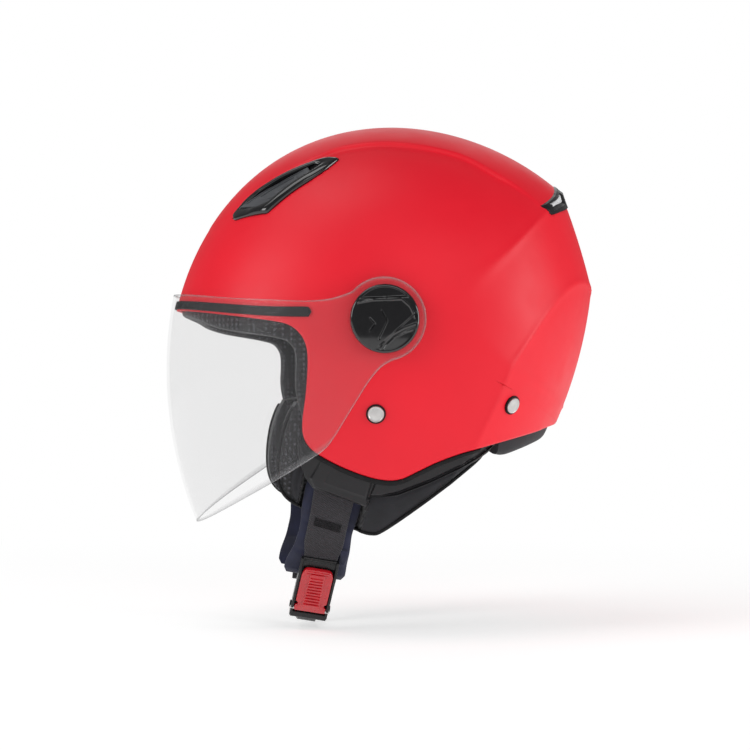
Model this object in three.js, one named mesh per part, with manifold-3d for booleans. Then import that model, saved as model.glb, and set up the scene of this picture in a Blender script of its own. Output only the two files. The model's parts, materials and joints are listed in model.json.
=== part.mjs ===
// Open-face motorcycle helmet with a long clear visor, built from its separate parts.
// Millimetres. Front is -Y, the wearer's left is +X, up is +Z.
// The origin is on the visor's pivot axis, midway between the two pivots.
import * as THREE from 'three';
import { mergeVertices } from 'three/addons/utils/BufferGeometryUtils.js';
import ManifoldModule from 'manifold-3d';

const wasm = await ManifoldModule();
wasm.setup();

// ---------------------------------------------------------------- driving dimensions
const shell = {
  centre: [28, 2], // y, z of the point the form is measured from
  halfWidth: 121,
  thickness: 3.5,
  roundness: 2.2, // 2 is a plain ellipse, more is squarer
  napeFlare: 19, // how much wider than the crown the nape form would reach
  napeRoundness: 1.8,
  crown: { y: 60, z: -93, long: 240.7, short: 185.3, tilt: 118.6 },
  back: { y: -323.5, z: -91.4, radius: 492.4 },
  nape: { y: -152.3, z: 55.8, radius: 310.6 },
  chin: { y: 10, z: -12, radius: 172, blend: 30 },
};
const band = { step: 2.2, fadeLength: 40 }; // raised band over the crown
const foam = { gap: 0.6, halfWidth: 86, halfLength: 107, height: 118, lowY: 14, lowZ: -20 };
const fabric = { gap: 0.6, thickness: 6.5 };
const cheek = { innerHalfWidth: 66, halfLength: 135, play: 0.0087 };
const skirt = { depth: 4.0, thickness: 3.0 };
const rivet = { headRadius: 5.4, headHeight: 1.6, shankRadius: 2.4, washerRim: 1, washerHeight: 0.9 };
const washerRadius = rivet.headRadius + rivet.washerRim;
const rivetPlaces = { front: [-4.6, -61.9], rear: [86.6, -56.3] };
const visor = {
  thickness: 2,
  flare: 10, // how much wider than the shell the visor's form would reach
  roundness: 2.0,
  earGap: 4.5, // from the shell's widest point to the outside of the visor's flat ears
  profile: { z: -32.8, radius: 278.0 },
  browX: [0, 15, 30, 45, 60], // where the visor's stand-off from the brow is measured
  browZ: [9, 12, 15, 18],
  browGap: 1.5384,
  earRim: 4.5, // how far the ear shows round the pivot cover
};
const cover = { radius: 22.5, height: 5.6, seat: 0.5, wall: 2.2, hubWall: 2.5 };
const pivot = { baseRim: 0.5, bossRadius: 6, bossRise: 1.5, screwRadius: 2, play: 0.4 };
// heights along the pivot axis, each measured from the one below it
const earFace = shell.halfWidth + visor.earGap;
const baseFace = earFace - visor.thickness - pivot.play;
const bossFace = earFace + pivot.bossRise;
const coverBack = earFace + cover.seat;
const coverFace = coverBack + cover.height;
const browSeal = { height: 1.2, gap: 0.3 };
const vent = { rim: 1.8, depth: 6.5, floor: -4.6, slide: 8, place: [-60, 93], towards: [69.5, -26.6, 111] };
const rearVent = { rim: 0.8, depth: 5.5 };
const strap = {
  width: 27,
  thickness: 1.8,
  swingAxis: [-27.5, -104], // y, z
  lean: 9.5, // degrees forward of straight down
  padWidth: 39,
  padThickness: 7,
  legWidth: 20,
  skirtEdge: [-27.5, -117], // y, z of the skirt's lower edge beside the strap
  rootOffset: 2.3373, // of the strap's top from the skirt's inner face there
  swingMargin: 7.5, // room on each side of the pad
};
const buckle = { length: 52, width: 26, wall: 1.8, height: 9, lean: 40, inset: 34.6, drop: 56, pinAt: 43.5,
  pinRadius: 1.25 };
const tongue = { width: 12.5, thickness: 1.8, tipAt: 12, toothPitch: 3.6, toothHeight: 0.9, curve: 12 };
const gap = 0.3;
const shellDetail = 8;
const innerDetail = 5;
const visorDetail = 9;
const FAR = 220;

// ---------------------------------------------------------------- colours
const paint = (color, roughness, extra = {}) => new THREE.MeshStandardMaterial({ color, roughness,
  ...extra });
const red = paint(0xd0202e, 0.5);
const blackPlastic = paint(0x16161a, 0.55);
const glossBlack = paint(0x08080a, 0.15);
const foamBlack = paint(0x26262a, 0.9);
const cloth = paint(0x1f2024, 0.95);
const rubber = paint(0x0d0d0e, 0.7);
const greyPlastic = paint(0x55575c, 0.45);
const silver = paint(0xc9cbcf, 0.35, { metalness: 0.8 });
const navy = paint(0x1b2038, 0.95);
const webbingBlack = paint(0x1c1b20, 0.9);
const leverRed = paint(0xd3122a, 0.4);
const clear = paint(0xe8eef2, 0.08, { transparent: true, opacity: 0.3 });

// ---------------------------------------------------------------- the helmet's form
const rad = THREE.MathUtils.degToRad;
// how far a facet of a form's mesh may lie inside the true form
const facetSag = (radius, detail) => radius * (1 - Math.cos(rad(68 / 2 / (detail + 1))));
const cheekRoom = cheek.play + facetSag(shell.halfWidth, innerDetail);

function rayCircle(circle, from, uy, uz) {
  const ey = from[0] - circle.y;
  const ez = from[1] - circle.z;
  const b = ey * uy + ez * uz;
  return -b + Math.sqrt(b * b - (ey * ey + ez * ez - circle.radius ** 2));
}

function rayEllipse(e, from, uy, uz) {
  const [ca, sa] = [Math.cos(rad(e.tilt)), Math.sin(rad(e.tilt))];
  const [ey, ez] = [from[0] - e.y, from[1] - e.z];
  const [p, q] = [(ey * ca + ez * sa) / e.long, (ez * ca - ey * sa) / e.short];
  const [u, v] = [(uy * ca + uz * sa) / e.long, (uz * ca - uy * sa) / e.short];
  const a = u * u + v * v;
  const b = p * u + q * v;
  return (-b + Math.sqrt(b * b - a * (p * p + q * q - 1))) / a;
}

function smoothMin(a, b, k) {
  const h = THREE.MathUtils.clamp(0.5 + (0.5 * (b - a)) / k, 0, 1);
  return b * (1 - h) + a * h - k * h * (1 - h);
}

// distance to a rounded form whose middle section reaches rho and whose half width is half
function reach(rho, half, power, d) {
  const side = Math.hypot(d.y, d.z) + 1e-9;
  return ((Math.abs(d.x) / half) ** power + (side / rho) ** power) ** (-1 / power);
}

function section(d) {
  const across = Math.hypot(d.y, d.z);
  return across < 1e-6 ? [0, 1] : [d.y / across, d.z / across];
}

function crownReach(d) {
  const [uy, uz] = section(d);
  const top = rayEllipse(shell.crown, shell.centre, uy, uz);
  const rho = smoothMin(top, rayCircle(shell.chin, shell.centre, uy, uz), shell.chin.blend);
  return reach(rho, shell.halfWidth, shell.roundness, d);
}

function backReach(d) {
  const [uy, uz] = section(d);
  return reach(rayCircle(shell.back, shell.centre, uy, uz), shell.halfWidth, shell.roundness, d);
}

function napeReach(d) {
  const [uy, uz] = section(d);
  return reach(rayCircle(shell.nape, shell.centre, uy, uz), (shell.halfWidth + shell.napeFlare),
    shell.napeRoundness, d);
}

const skinReach = (d) => Math.min(crownReach(d), backReach(d), napeReach(d));

// the side-view line of the raised band's edge
const bandEdge = [[-150, 45], [-96, 74], [-66, 98], [-42, 110], [-21, 118], [12, 120.4], [53, 113.2],
  [77, 101],
  [104, 83]];

function bandEdgeHeight(y) {
  let i = 1;
  while (i < bandEdge.length - 1 && bandEdge[i][0] < y) i += 1;
  const [a, b] = [bandEdge[i - 1], bandEdge[i]];
  return a[1] + ((b[1] - a[1]) * (y - a[0])) / (b[0] - a[0]);
}

function loweredCrownReach(d) {
  const r = crownReach(d);
  const y = shell.centre[0] + d.y * r;
  const z = shell.centre[1] + d.z * r;
  const fade = THREE.MathUtils.smoothstep(y, -80, -25) * (1 - THREE.MathUtils.smoothstep(y, 78, 112));
  const below = Math.max(0, bandEdgeHeight(y) - z);
  return r - (0.3 + (band.step - 0.3) * fade) * Math.exp(-below / band.fadeLength);
}

// ---------------------------------------------------------------- solid tools
function solid(geometry, matrix) {
  const g = geometry.clone();
  if (matrix) g.applyMatrix4(matrix);
  g.deleteAttribute('normal');
  g.deleteAttribute('uv');
  const merged = mergeVertices(g, 1e-4);
  const index = merged.index.array;
  const build = (flip) => {
    const tris = [];
    for (let i = 0; i < index.length; i += 3) {
      const [a, b, c] = [index[i], index[i + 1], index[i + 2]];
      if (a !== b && b !== c && c !== a) tris.push(a, flip ? c : b, flip ? b : c);
    }
    return new wasm.Manifold(new wasm.Mesh({
      numProp: 3,
      vertProperties: Float32Array.from(merged.attributes.position.array),
      triVerts: Uint32Array.from(tris),
    }));
  };
  const made = build(false);
  return made.volume() < 0 ? build(true) : made;
}

function geometryOf(manifold) {
  const mesh = manifold.getMesh();
  const g = new THREE.BufferGeometry();
  const positions = new Float32Array(mesh.numVert * 3);
  for (let i = 0; i < mesh.numVert; i += 1) {
    for (let k = 0; k < 3; k += 1) positions[3 * i + k] = mesh.vertProperties[i * mesh.numProp + k];
  }
  g.setAttribute('position', new THREE.BufferAttribute(positions, 3));
  g.setIndex([...mesh.triVerts]);
  g.computeVertexNormals();
  return g;
}

const union = (...parts) => wasm.Manifold.union(parts);
const common = (...parts) => wasm.Manifold.intersection(parts);
const cut = (a, ...tools) => wasm.Manifold.difference([a, ...tools]);

// a ball pushed out along every direction to the distance that reachOf gives, less the inset
function blob(reachOf, inset, detail, centre = [0, ...shell.centre]) {
  const g = mergeVertices(new THREE.IcosahedronGeometry(1, detail).deleteAttribute('uv'));
  const p = g.attributes.position;
  const d = new THREE.Vector3();
  for (let i = 0; i < p.count; i += 1) {
    d.fromBufferAttribute(p, i).normalize();
    const r = reachOf(d);
    const at = new THREE.Vector3(...centre).addScaledVector(d, r);
    d.multiplyScalar(r - (typeof inset === 'function' ? inset(at) : inset));
    p.setXYZ(i, d.x + centre[0], d.y + centre[1], d.z + centre[2]);
  }
  return solid(g);
}

const skinCache = new Map();
function skin(inset, detail = shellDetail) {
  const key = `${inset}/${detail}`;
  if (!skinCache.has(key)) skinCache.set(key, blob(skinReach, inset, detail));
  return skinCache.get(key);
}
const layer = (outer, inner, detail = shellDetail) => cut(skin(outer, detail), skin(inner, detail));

// the largest value between two at which a test still holds
function halved(least, most, holds) {
  let [lo, hi] = [least, most];
  for (let i = 0; i < 40; i += 1) {
    const middle = (lo + hi) / 2;
    if (holds(middle)) lo = middle;
    else hi = middle;
  }
  return lo;
}

// how far the skin, or a face that lies an inset below it, is from a point inside it, along a direction
function skinAlong(from, direction, inset = 0) {
  return halved(0, FAR, (t) => {
    const d = from.clone().addScaledVector(direction, t).sub(vec(0, ...shell.centre));
    const r = d.length();
    return r < skinReach(d.divideScalar(r)) - inset;
  });
}

// points joined by a smooth curve, used as part of an outline
function smooth(points, perSpan = 3) {
  const curve = new THREE.SplineCurve(points.map(([a, b]) => new THREE.Vector2(a, b)));
  return curve.getPoints(perSpan * (points.length - 1)).map((p) => [p.x, p.y]);
}

function arc(centre, radius, from, to, steps) {
  const at = (i) => rad(from + ((to - from) * i) / steps);
  return Array.from({ length: steps + 1 }, (_, i) => [
    centre[0] + radius * Math.cos(at(i)),
    centre[1] + radius * Math.sin(at(i)),
  ]);
}

// an outline moved outward by a distance, or inward when it is negative
function grow(points, by) {
  const n = points.length;
  const turn = Math.sign(THREE.ShapeUtils.area(points.map(([a, b]) => new THREE.Vector2(a, b))));
  return points.map(([a, b], i) => {
    const [p, q] = [points[(i + n - 1) % n], points[(i + 1) % n]];
    const s = new THREE.Vector2(a - p[0], b - p[1]).normalize();
    const t = new THREE.Vector2(q[0] - a, q[1] - b).normalize();
    const m = new THREE.Vector2(s.y + t.y, -s.x - t.x).normalize();
    const reachOut = (turn * by) / Math.max(0.4, m.dot(new THREE.Vector2(s.y, -s.x)));
    return [a + m.x * reachOut, b + m.y * reachOut];
  });
}

const toShape = (points) => new THREE.Shape(points.map(([a, b]) => new THREE.Vector2(a, b)));
const vec = (...v) => new THREE.Vector3(...v);
const forward = vec(0, -1, 0);
const leftward = vec(1, 0, 0);

// a frame has an origin o, and directions u, v in the plane of an outline and w out of it
function prism(points, frame, w0, w1) {
  const g = new THREE.ExtrudeGeometry(toShape(points), { depth: w1 - w0, bevelEnabled: false });
  g.translate(0, 0, w0);
  const m = new THREE.Matrix4().makeBasis(frame.u, frame.v, frame.w).setPosition(frame.o);
  return solid(g, m);
}

// a solid of revolution about the frame's w, from points of radius and height
function turned(profile, frame, segments = 32) {
  const g = new THREE.LatheGeometry(profile.map(([r, h]) => new THREE.Vector2(r, h)), segments);
  const m = new THREE.Matrix4().makeBasis(frame.u, frame.w, frame.u.clone().cross(frame.w));
  return solid(g, m.setPosition(frame.o));
}
const rod = (radius, h0, h1, frame, segments = 24) =>
  turned([[0, h0], [radius, h0], [radius, h1], [0, h1]], frame, segments);

const sideFrame = { o: vec(0, 0, 0), u: vec(0, 1, 0), v: vec(0, 0, 1), w: vec(1, 0, 0) };
const backFrame = { o: vec(0, 0, 0), u: vec(1, 0, 0), v: vec(0, 0, 1), w: vec(0, -1, 0) };
const side = (points, x0 = -FAR, x1 = FAR) => prism(points, sideFrame, x0, x1);
const frameAlong = (o, w, hint) => {
  const u = hint.clone().addScaledVector(w, -hint.dot(w)).normalize();
  return { o, u, v: w.clone().cross(u), w };
};

// the point of the left half of the shell that lies at y, z, and the outward direction there
function shellAt(y, z) {
  const inside = (x, yy = y, zz = z) => {
    const d = vec(x, yy - shell.centre[0], zz - shell.centre[1]);
    const r = d.length();
    return r - skinReach(d.divideScalar(r));
  };
  let [lo, hi] = [0, 160];
  for (let i = 0; i < 40; i += 1) {
    const mid = (lo + hi) / 2;
    if (inside(mid) < 0) lo = mid;
    else hi = mid;
  }
  const e = 0.5;
  const out = vec(
    inside(lo + e) - inside(lo - e),
    inside(lo, y + e) - inside(lo, y - e),
    inside(lo, y, z + e) - inside(lo, y, z - e),
  );
  return { o: vec(lo, y, z), w: out.normalize() };
}

// ---------------------------------------------------------------- outlines seen from the side, y and z
const shellEdge = smooth([
  [-160, 11], [-131, 7.6], [-100, 3.4], [-72, -0.6], [-60, -3.4], [-53, -8.6], [-49, -15.5], [-47.6, -26],
  [-48.8, -46], [-51, -64], [-50.8, -74], [-47.8, -81.2], [-41, -87.4], [-24, -96.4], [-4, -103.4],
  [11, -104.3], [24, -98.6], [36, -92.8], [52, -87], [72, -82], [90, -78], [108, -74.2], [125, -70.6],
  [160, -69],
], 2);
const above = (edge) => [...edge, [FAR, edge[edge.length - 1][1]], [FAR, FAR], [-FAR, FAR],
  [-FAR, edge[0][1]]];

const foamEdge = smooth([
  [-160, 16], [-131, 12.6], [-100, 8.6], [-70, 4.6], [-53, 0], [-45, -8], [-42, -20], [-42.4, -45],
  [-44.6, -60], [-45, -68], [-36, -77], [-22, -84], [-4, -90.5], [10, -91.5], [24, -85.5], [45, -75.5],
  [70, -68],
  [100, -62.5], [160, -60],
], 2);
const foamEdgeGrown = foamEdge.map(([y, z]) => (y < -43 && z > -60 ? [y - 0.7, z - 0.7] : [y - 0.3,
  z - 0.7]));

const rollEdge = smooth([
  [-160, 6], [-135, 5], [-118, 0.5], [-108, -4.5], [-96, -7.6], [-83, -9.6], [-70, -11.8], [-61, -14.6],
  [-56.4, -21], [-55.6, -30], [-56, -42], [-54.6, -52],
], 2);

const cheekOutline = [
  ...smooth([[-55.4, -52.6], [-58.6, -59.4], [-63, -69.5], [-65.6, -79], [-67, -93], [-66.8, -104.5],
  [-64.8, -112],
    [-60, -119], [-54, -123], [-46, -127]], 2),
  ...smooth([[-13, -139.6], [-8.8, -142.8], [-3.4, -143.4], [2, -141.4], [27, -123.6], [53, -103.2],
  [69.4, -90.4]], 2),
  [71.5, -80], [66, -60], [40, -49], [-20, -49], [-46, -52.6],
];

const skirtOutline = [
  [-53.4, -88.6], [-51.4, -103], [-47, -119.4], [-42, -112], [-8.2, -124.4], [-8.6, -117.4], [0.4, -117.8],
  [11, -116.8], [31, -109], [52.6, -98.8], [63.5, -93.8], [72, -88.2], [76.5, -81.4],
  [70, -76.4], [45, -84], [25, -93.6], [11, -99.4], [-4, -98.6], [-24, -91.6], [-38, -84.6], [-46, -79.6],
  [-52.6, -82],
];
const coverBar = [[-41.6, -97.6], [-35.8, -105.8], [-9.4, -116.6], [-8.4, -123.6], [-41.6, -111.2],
  [-46, -117.4], [-49.4, -103]];

const sealOutline = [
  ...smooth([[-50.6, -88.6], [-41.4, -91.4], [-24.4, -100.2], [-4, -107.2], [11, -108.2], [25, -102.2],
  [37, -96.2],
    [53, -90], [66, -86]], 2),
  ...smooth([[66, -84.2], [52.2, -87.8], [36.2, -93.6], [24.2, -99.4], [11, -105.1], [-4.2, -104.2],
  [-24.4, -97.2],
    [-41.6, -88.1], [-48.6, -82.2], [-51.4, -76.6]], 2),
  [-54, -80],
];

const neckOutline = [[79, -66.6], [78, -84], [79.4, -88.4], [83, -89.2], [97, -84.8], [124.5, -77],
  [160, -74.6],
  [FAR, -74.6], [FAR, -61.4], [160, -61.4], [100, -64]];

const sealTop = smooth([[-160, 17.6], [-132, 14.2], [-99, 10.6], [-73, 8.6], [-50, 8]], 3);
const sealBottom = smooth([[-50, 1.8], [-73, 2.3], [-99, 4.6], [-132, 8.6], [-160, 12]], 3);
const browOutline = [[-FAR, 17.6], ...sealTop, ...arc([-50, 4.9], 3.1, 80, -80, 4), ...sealBottom,
  [-FAR, 12]];

const visorOutline = [
  [-FAR, 20.4],
  ...smooth([[-160, 20.4], [-133, 18.7], [-100, 14.6], [-70, 12.5], [-50, 11.6], [-36, 12.6], [-27, 15],
  [-20.6, 17.5]], 2),
  ...arc([0, 0], cover.radius + visor.earRim, 136, -78, 18),
  ...smooth([[-2, -31], [-10, -40.4], [-22, -59.6], [-33, -78], [-38, -84.2], [-44, -89], [-66.7, -104],
    [-92, -120], [-119, -137.8], [-160, -166]], 2),
  [-FAR, -208],
];

// ---------------------------------------------------------------- parts kept in one list
const helmet = new THREE.Group();
helmet.name = 'motorcycle_helmet';

function add(name, manifold, material) {
  const mesh = new THREE.Mesh(geometryOf(manifold), material);
  mesh.name = name;
  helmet.add(mesh);
  return mesh;
}

// one part on the wearer's left and its mirror image on the right
function addPair(name, manifold, material) {
  add(`${name}_left`, manifold, material);
  add(`${name}_right`, manifold.mirror([1, 0, 0]), material);
}
const both = (manifold) => union(manifold, manifold.mirror([1, 0, 0]));

// ---------------------------------------------------------------- strap plane
// u is across the helmet, v runs down along the straps and w is the webbing's width
const down = vec(0, -Math.sin(rad(strap.lean)), -Math.cos(rad(strap.lean)));
const strapFrame = { o: vec(0, ...strap.swingAxis), u: vec(1, 0, 0), v: down, w: vec(1, 0, 0).cross(down) };

// a strip that follows a path of u, v points; near and far are its faces to the path's left
function ribbon(path, near, far, width, shift = 0) {
  const points = path.map(([a, b]) => new THREE.Vector2(a, b));
  const normals = points.map((p, i) => {
    const a = points[Math.max(0, i - 1)];
    const b = points[Math.min(points.length - 1, i + 1)];
    const t = b.clone().sub(a).normalize();
    return new THREE.Vector2(t.y, -t.x);
  });
  const offset = (t) => points.map((p, i) => [p.x + normals[i].x * t, p.y + normals[i].y * t]);
  return prism([...offset(near), ...offset(far).reverse()], strapFrame, shift - width / 2,
    shift + width / 2);
}

const along = vec(-Math.sin(rad(buckle.lean)), Math.cos(rad(buckle.lean)), 0); // buckle's length in u, v
const outward = vec(Math.cos(rad(buckle.lean)), Math.sin(rad(buckle.lean)), 0);
// the hanging strap passes inside the skirt's lower edge
const skirtInside = skinAlong(vec(0, ...strap.skirtEdge), leftward, skirt.depth + skirt.thickness);
const root = skirtInside + strap.rootOffset;
const buckleTop = [root - buckle.inset, buckle.drop];
const inBuckle = (s, t) => [
  buckleTop[0] + along.x * s + outward.x * t,
  buckleTop[1] + along.y * s + outward.y * t,
];
const inPlane = ([u, v], w = 0) => strapFrame.o.clone()
  .addScaledVector(strapFrame.u, u)
  .addScaledVector(strapFrame.v, v)
  .addScaledVector(strapFrame.w, w);
const mixed = (d) => strapFrame.u.clone().multiplyScalar(d.x).addScaledVector(strapFrame.v, d.y);
// frame of the buckle: u along its length, v across its width, w outward
const buckleFrame = { o: inPlane(buckleTop), u: mixed(along), w: mixed(outward) };
buckleFrame.v = buckleFrame.w.clone().cross(buckleFrame.u);

// from there the strap comes in to the buckle
const hang = [[root, -5], [root - 3.2, 4], [root - 7.8, 13.5], [root - 14.2, 25.5], [root - 22, 38.6],
  inBuckle(-3, 0.9)];
const strapPath = smooth(hang, 3);

// ---------------------------------------------------------------- outer shell
const crown = union(blob(loweredCrownReach, 0, shellDetail), common(
  blob(crownReach, 0, shellDetail),
  side([...bandEdge, [140, 60], [140, FAR], [-150, FAR]]),
));
const back = blob(backReach, 0, shellDetail);
const nape = blob(napeReach, 0, shellDetail);
const shellOuter = common(crown, back, nape);
const shellInside = common(...[crownReach, backReach,
  napeReach].map((r) => blob(r, shell.thickness, shellDetail)));

const ventPlace = shellAt(...vent.place);
const ventFrame = frameAlong(ventPlace.o, ventPlace.w, vec(...vent.towards).sub(ventPlace.o));
const ventOutline = [
  ...smooth([[-44, 10.4], [-28, 12.9], [-3, 11.8], [23, 8.6], [32.6, 6.6]], 3), [38, 0],
  ...smooth([[28, -6.3], [16, -10], [0, -12.4], [-17, -15.2]], 3), [-22, -16], [-45, 4.6],
];
const ventPocket = [[-37, 8.4], [-20, 9.8], [-2, 8.8], [22, 5.4], [25, 1.4], [12, -2.6], [-3, -5],
  [-17, -7.6], [-26, -3.6]];
const ventCut = prism(grow(ventOutline, 0.4), ventFrame, -30, 30);

const rearTop = smooth([[78, 77], [60, 84.2], [37, 91.8], [18, 95], [0, 96]], 2);
const rearBottom = smooth([[0, 81], [20, 80.2], [42, 77.6], [60, 74.4], [74, 71.4]], 2);
const mirrored = (points) => points.map(([a, b]) => [-a, b]).reverse();
const rearOutline = [...rearTop, ...mirrored(rearTop).slice(1), ...mirrored(rearBottom),
  ...rearBottom.slice(1)];
const behind = (points, y0 = 60, y1 = FAR) => prism(points, backFrame, -y1, -y0);
const rearCut = behind(grow(rearOutline, 0.4));

const rivetFrames = Object.fromEntries(Object.entries(rivetPlaces).map(([name, [y, z]]) => {
  const place = shellAt(y, z);
  return [name, frameAlong(place.o, place.w, vec(0, 0, 1))];
}));
const rivetHoles = Object.values(rivetFrames).map((f) => rod(rivet.shankRadius + 0.3, -30, 10, f, 16));
const screwHole = rod(pivot.screwRadius + 0.4, -FAR, FAR, sideFrame);

add('outer_shell', cut(
  common(cut(shellOuter, shellInside), side(above(shellEdge))),
  both(ventCut),
  rearCut,
  both(union(...rivetHoles)),
  screwHole,
), red);

// ---------------------------------------------------------------- impact foam, with the space for the head
// an upright dome: half an ellipsoid on a straight oval wall
function dome(halfWidth, halfLength, height, low = -260) {
  const profile = [[0, low], [1, low], ...arc([0, 0], 1, 0, 90, 7).slice(0, -1), [0, 1]];
  const g = new THREE.LatheGeometry(profile.map(([r, h]) => new THREE.Vector2(r, h)), 28);
  const p = g.attributes.position;
  for (let i = 0; i < p.count; i += 1) {
    const h = p.getY(i);
    p.setXYZ(i, p.getX(i) * halfWidth, p.getZ(i) * halfLength + foam.lowY,
      foam.lowZ + (h < 0 ? h : h * height));
  }
  return solid(g);
}
const headRoom = dome(foam.halfWidth, foam.halfLength, foam.height);
const linerOuter = dome(foam.halfWidth - fabric.gap, foam.halfLength - fabric.gap,
  foam.height - fabric.gap);
const fabricDepth = fabric.gap + fabric.thickness;
const linerInner = dome(foam.halfWidth - fabricDepth, foam.halfLength - fabricDepth,
  foam.height - fabricDepth);

const legInset = (at) => 4.6 + 4.2 * THREE.MathUtils.smoothstep(-at.z, 70, 92);
const legOuter = blob(skinReach, legInset, innerDetail);
const legInner = blob(skinReach, (at) => legInset(at) + 1.6, innerDetail);
const legRoom = blob(skinReach, (at) => legInset(at) + 3.2, innerDetail);
// the strip of side view between two points
function sideStrip(a, b, width, lengthen = 0) {
  const t = new THREE.Vector2(b[0] - a[0], b[1] - a[1]).normalize();
  const n = [-t.y * width / 2, t.x * width / 2];
  const [s, e] = [[a[0] - t.x * lengthen, a[1] - t.y * lengthen],
    [b[0] + t.x * lengthen, b[1] + t.y * lengthen]];
  return [[s[0] + n[0], s[1] + n[1]], [s[0] - n[0], s[1] - n[1]], [e[0] - n[0], e[1] - n[1]],
    [e[0] + n[0], e[1] + n[1]]];
}
const rearLegWidth = strap.legWidth * 0.8;
const frontFoot = [-21.5, -89];
const rearFoot = [-8, -87];
const frontLeg = sideStrip(rivetPlaces.front, frontFoot, strap.legWidth);
const rearLeg = sideStrip(rivetPlaces.rear, rearFoot, rearLegWidth);
const roundEnd = (centre, radius) => side(arc(centre, radius, 0, 345, 23), 0, FAR);
const legSide = (points) => side(points, 0, FAR);
const legChannel = cut(union(
  legSide(sideStrip(rivetPlaces.front, frontFoot, strap.legWidth + 4, 12)),
  legSide(sideStrip(rivetPlaces.rear, rearFoot, rearLegWidth + 4, 12)),
), legRoom);

const pivotFrame = sideFrame;
const ventAirSlot = (length, width, shift) => prism(
  [...arc([shift + length / 2, 0], width / 2, -90, 90, 6),
  ...arc([shift - length / 2, 0], width / 2, 90, 270, 6)],
  ventFrame, -70, 0,
);
add('impact_foam', cut(
  common(skin(shell.thickness + foam.gap, 5), side(above(foamEdge))),
  headRoom,
  both(cut(ventCut, skin(vent.depth + 0.6, innerDetail))),
  both(ventAirSlot(14, 6, -8)),
  cut(rearCut, skin(rearVent.depth + 0.6, innerDetail)),
  both(legChannel),
  both(rod(5.4, shell.halfWidth - 13, FAR, pivotFrame)),
  both(union(...Object.values(rivetFrames).map((f) => rod(washerRadius + 3, -13, 10, f)))),
), foamBlack);

// ---------------------------------------------------------------- fabric lining
const liningFloor = side([[-160, -47], [160, -47], [160, FAR], [-160, FAR]]);
add('crown_lining', common(cut(linerOuter, linerInner), liningFloor, side(above(foamEdge))), cloth);

const rollTop = foamEdge.slice(0, 17).reverse().map(([y, z]) => [y - 0.7, z - 0.7]);
const rollRegion = [[-FAR, 6], ...rollEdge, [-45, -52], ...rollTop, [-FAR, 15.3]];
const rollFloor = side([[-FAR, -51.4], [FAR, -51.4], [FAR, FAR], [-FAR, FAR]]);
add('opening_roll', cut(common(skin(4.2, innerDetail), side(rollRegion), rollFloor), linerInner), cloth);

// -------------------------------------------------- straps, buckle and their room between the pads
const swingWidth = strap.padWidth + 2 * strap.swingMargin;
const swingRoom = ribbon([[root + 5.4, -16], ...strapPath, inBuckle(10, 0.9)], 26,
  -strap.padThickness - 3.4, swingWidth);
const cheekSpace = (() => {
  const oval = arc([0, 0], 1, 0, 351, 39).map(([a, b]) => [a * cheek.innerHalfWidth,
    b * cheek.halfLength + foam.lowY]);
  const frame = { o: vec(0, 0, 0), u: vec(1, 0, 0), v: vec(0, 1, 0), w: vec(0, 0, 1) };
  return prism(oval, frame, -260, 60);
})();
const foamGrown = cut(side(above(foamEdgeGrown)),
  dome(foam.halfWidth - 0.6, foam.halfLength - 0.6, foam.height - 0.6));

addPair('cheek_pad', cut(
  common(skin(skirt.depth + skirt.thickness + cheekRoom, innerDetail), side(cheekOutline, 30, FAR)),
  foamGrown,
  cheekSpace,
  swingRoom,
  legChannel,
), cloth);

addPair('side_skirt', union(
  common(layer(skirt.depth, skirt.depth + skirt.thickness), side(skirtOutline, 0, FAR)),
  common(layer(skirt.depth - 2, skirt.depth + 0.5), side(coverBar, 0, FAR)),
), blackPlastic);

addPair('edge_seal', common(layer(0.4, skirt.depth - 0.4), side(sealOutline, 0, FAR)), rubber);

add('neck_roll', cut(
  common(skin(4.4, innerDetail), side(neckOutline)),
  both(legChannel),
  dome(foam.halfWidth - 5, foam.halfLength - 9, foam.height),
), cloth);

// ---------------------------------------------------------------- rubber strip over the brow
add('brow_seal', common(layer(-browSeal.gap - browSeal.height, -browSeal.gap), side(browOutline)), rubber);

// ---------------------------------------------------------------- front air intakes
const pocket = prism(ventPocket, ventFrame, vent.floor, 30);
const ventFloorSlot = ventAirSlot(14, 5, -8);
addPair('front_vent_frame', cut(
  common(layer(-vent.rim, vent.depth), prism(ventOutline, ventFrame, -30, 30)),
  pocket,
  ventFloorSlot,
), blackPlastic);

const slideOutline = grow(ventPocket, -0.4);
const slideBase = (lift0, lift1, points = slideOutline) => common(
  prism(points, ventFrame, vent.floor + lift0, vent.floor + lift1),
  prism(points.map(([a, b]) => [a - vent.slide, b]), ventFrame, vent.floor + lift0, vent.floor + lift1),
);
const grip = prism([[-26, 1], [-26, 5.6], [-22.6, 5.8], [-22.6, 0.6]], ventFrame, vent.floor + 1,
  vent.floor + 3.2);
addPair('front_vent_slider', union(slideBase(0.3, 1.6), grip), greyPlastic);

// ---------------------------------------------------------------- rear air outlet
const grilleWindow = [[41, 89], [70.5, 79], [68.6, 76.4], [61, 78.6], [40, 82.4]];
const grilleFrameCut = behind(grilleWindow);
add('rear_vent_frame', cut(
  common(layer(-rearVent.rim, rearVent.depth), behind(rearOutline)),
  both(grilleFrameCut),
  behind([[-30, 84], [30, 84], [28, 92.4], [-28, 92.4]]),
), blackPlastic);

const grille = (() => {
  const plate = common(layer(0.6, 3, shellDetail), behind(grow(grilleWindow, -0.35)));
  const slots = Array.from({ length: 5 }, (_, i) => {
    const x = 44.5 + i * 4.6;
    const base = 90.4 - (x - 41) * 0.34;
    return behind([[x, base - 3.6], [x + 2.2, base - 4.3], [x + 2.2, base - 6.6], [x, base - 6]]);
  });
  return cut(plate, ...slots);
})();
addPair('rear_vent_grille', grille, silver);

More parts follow.
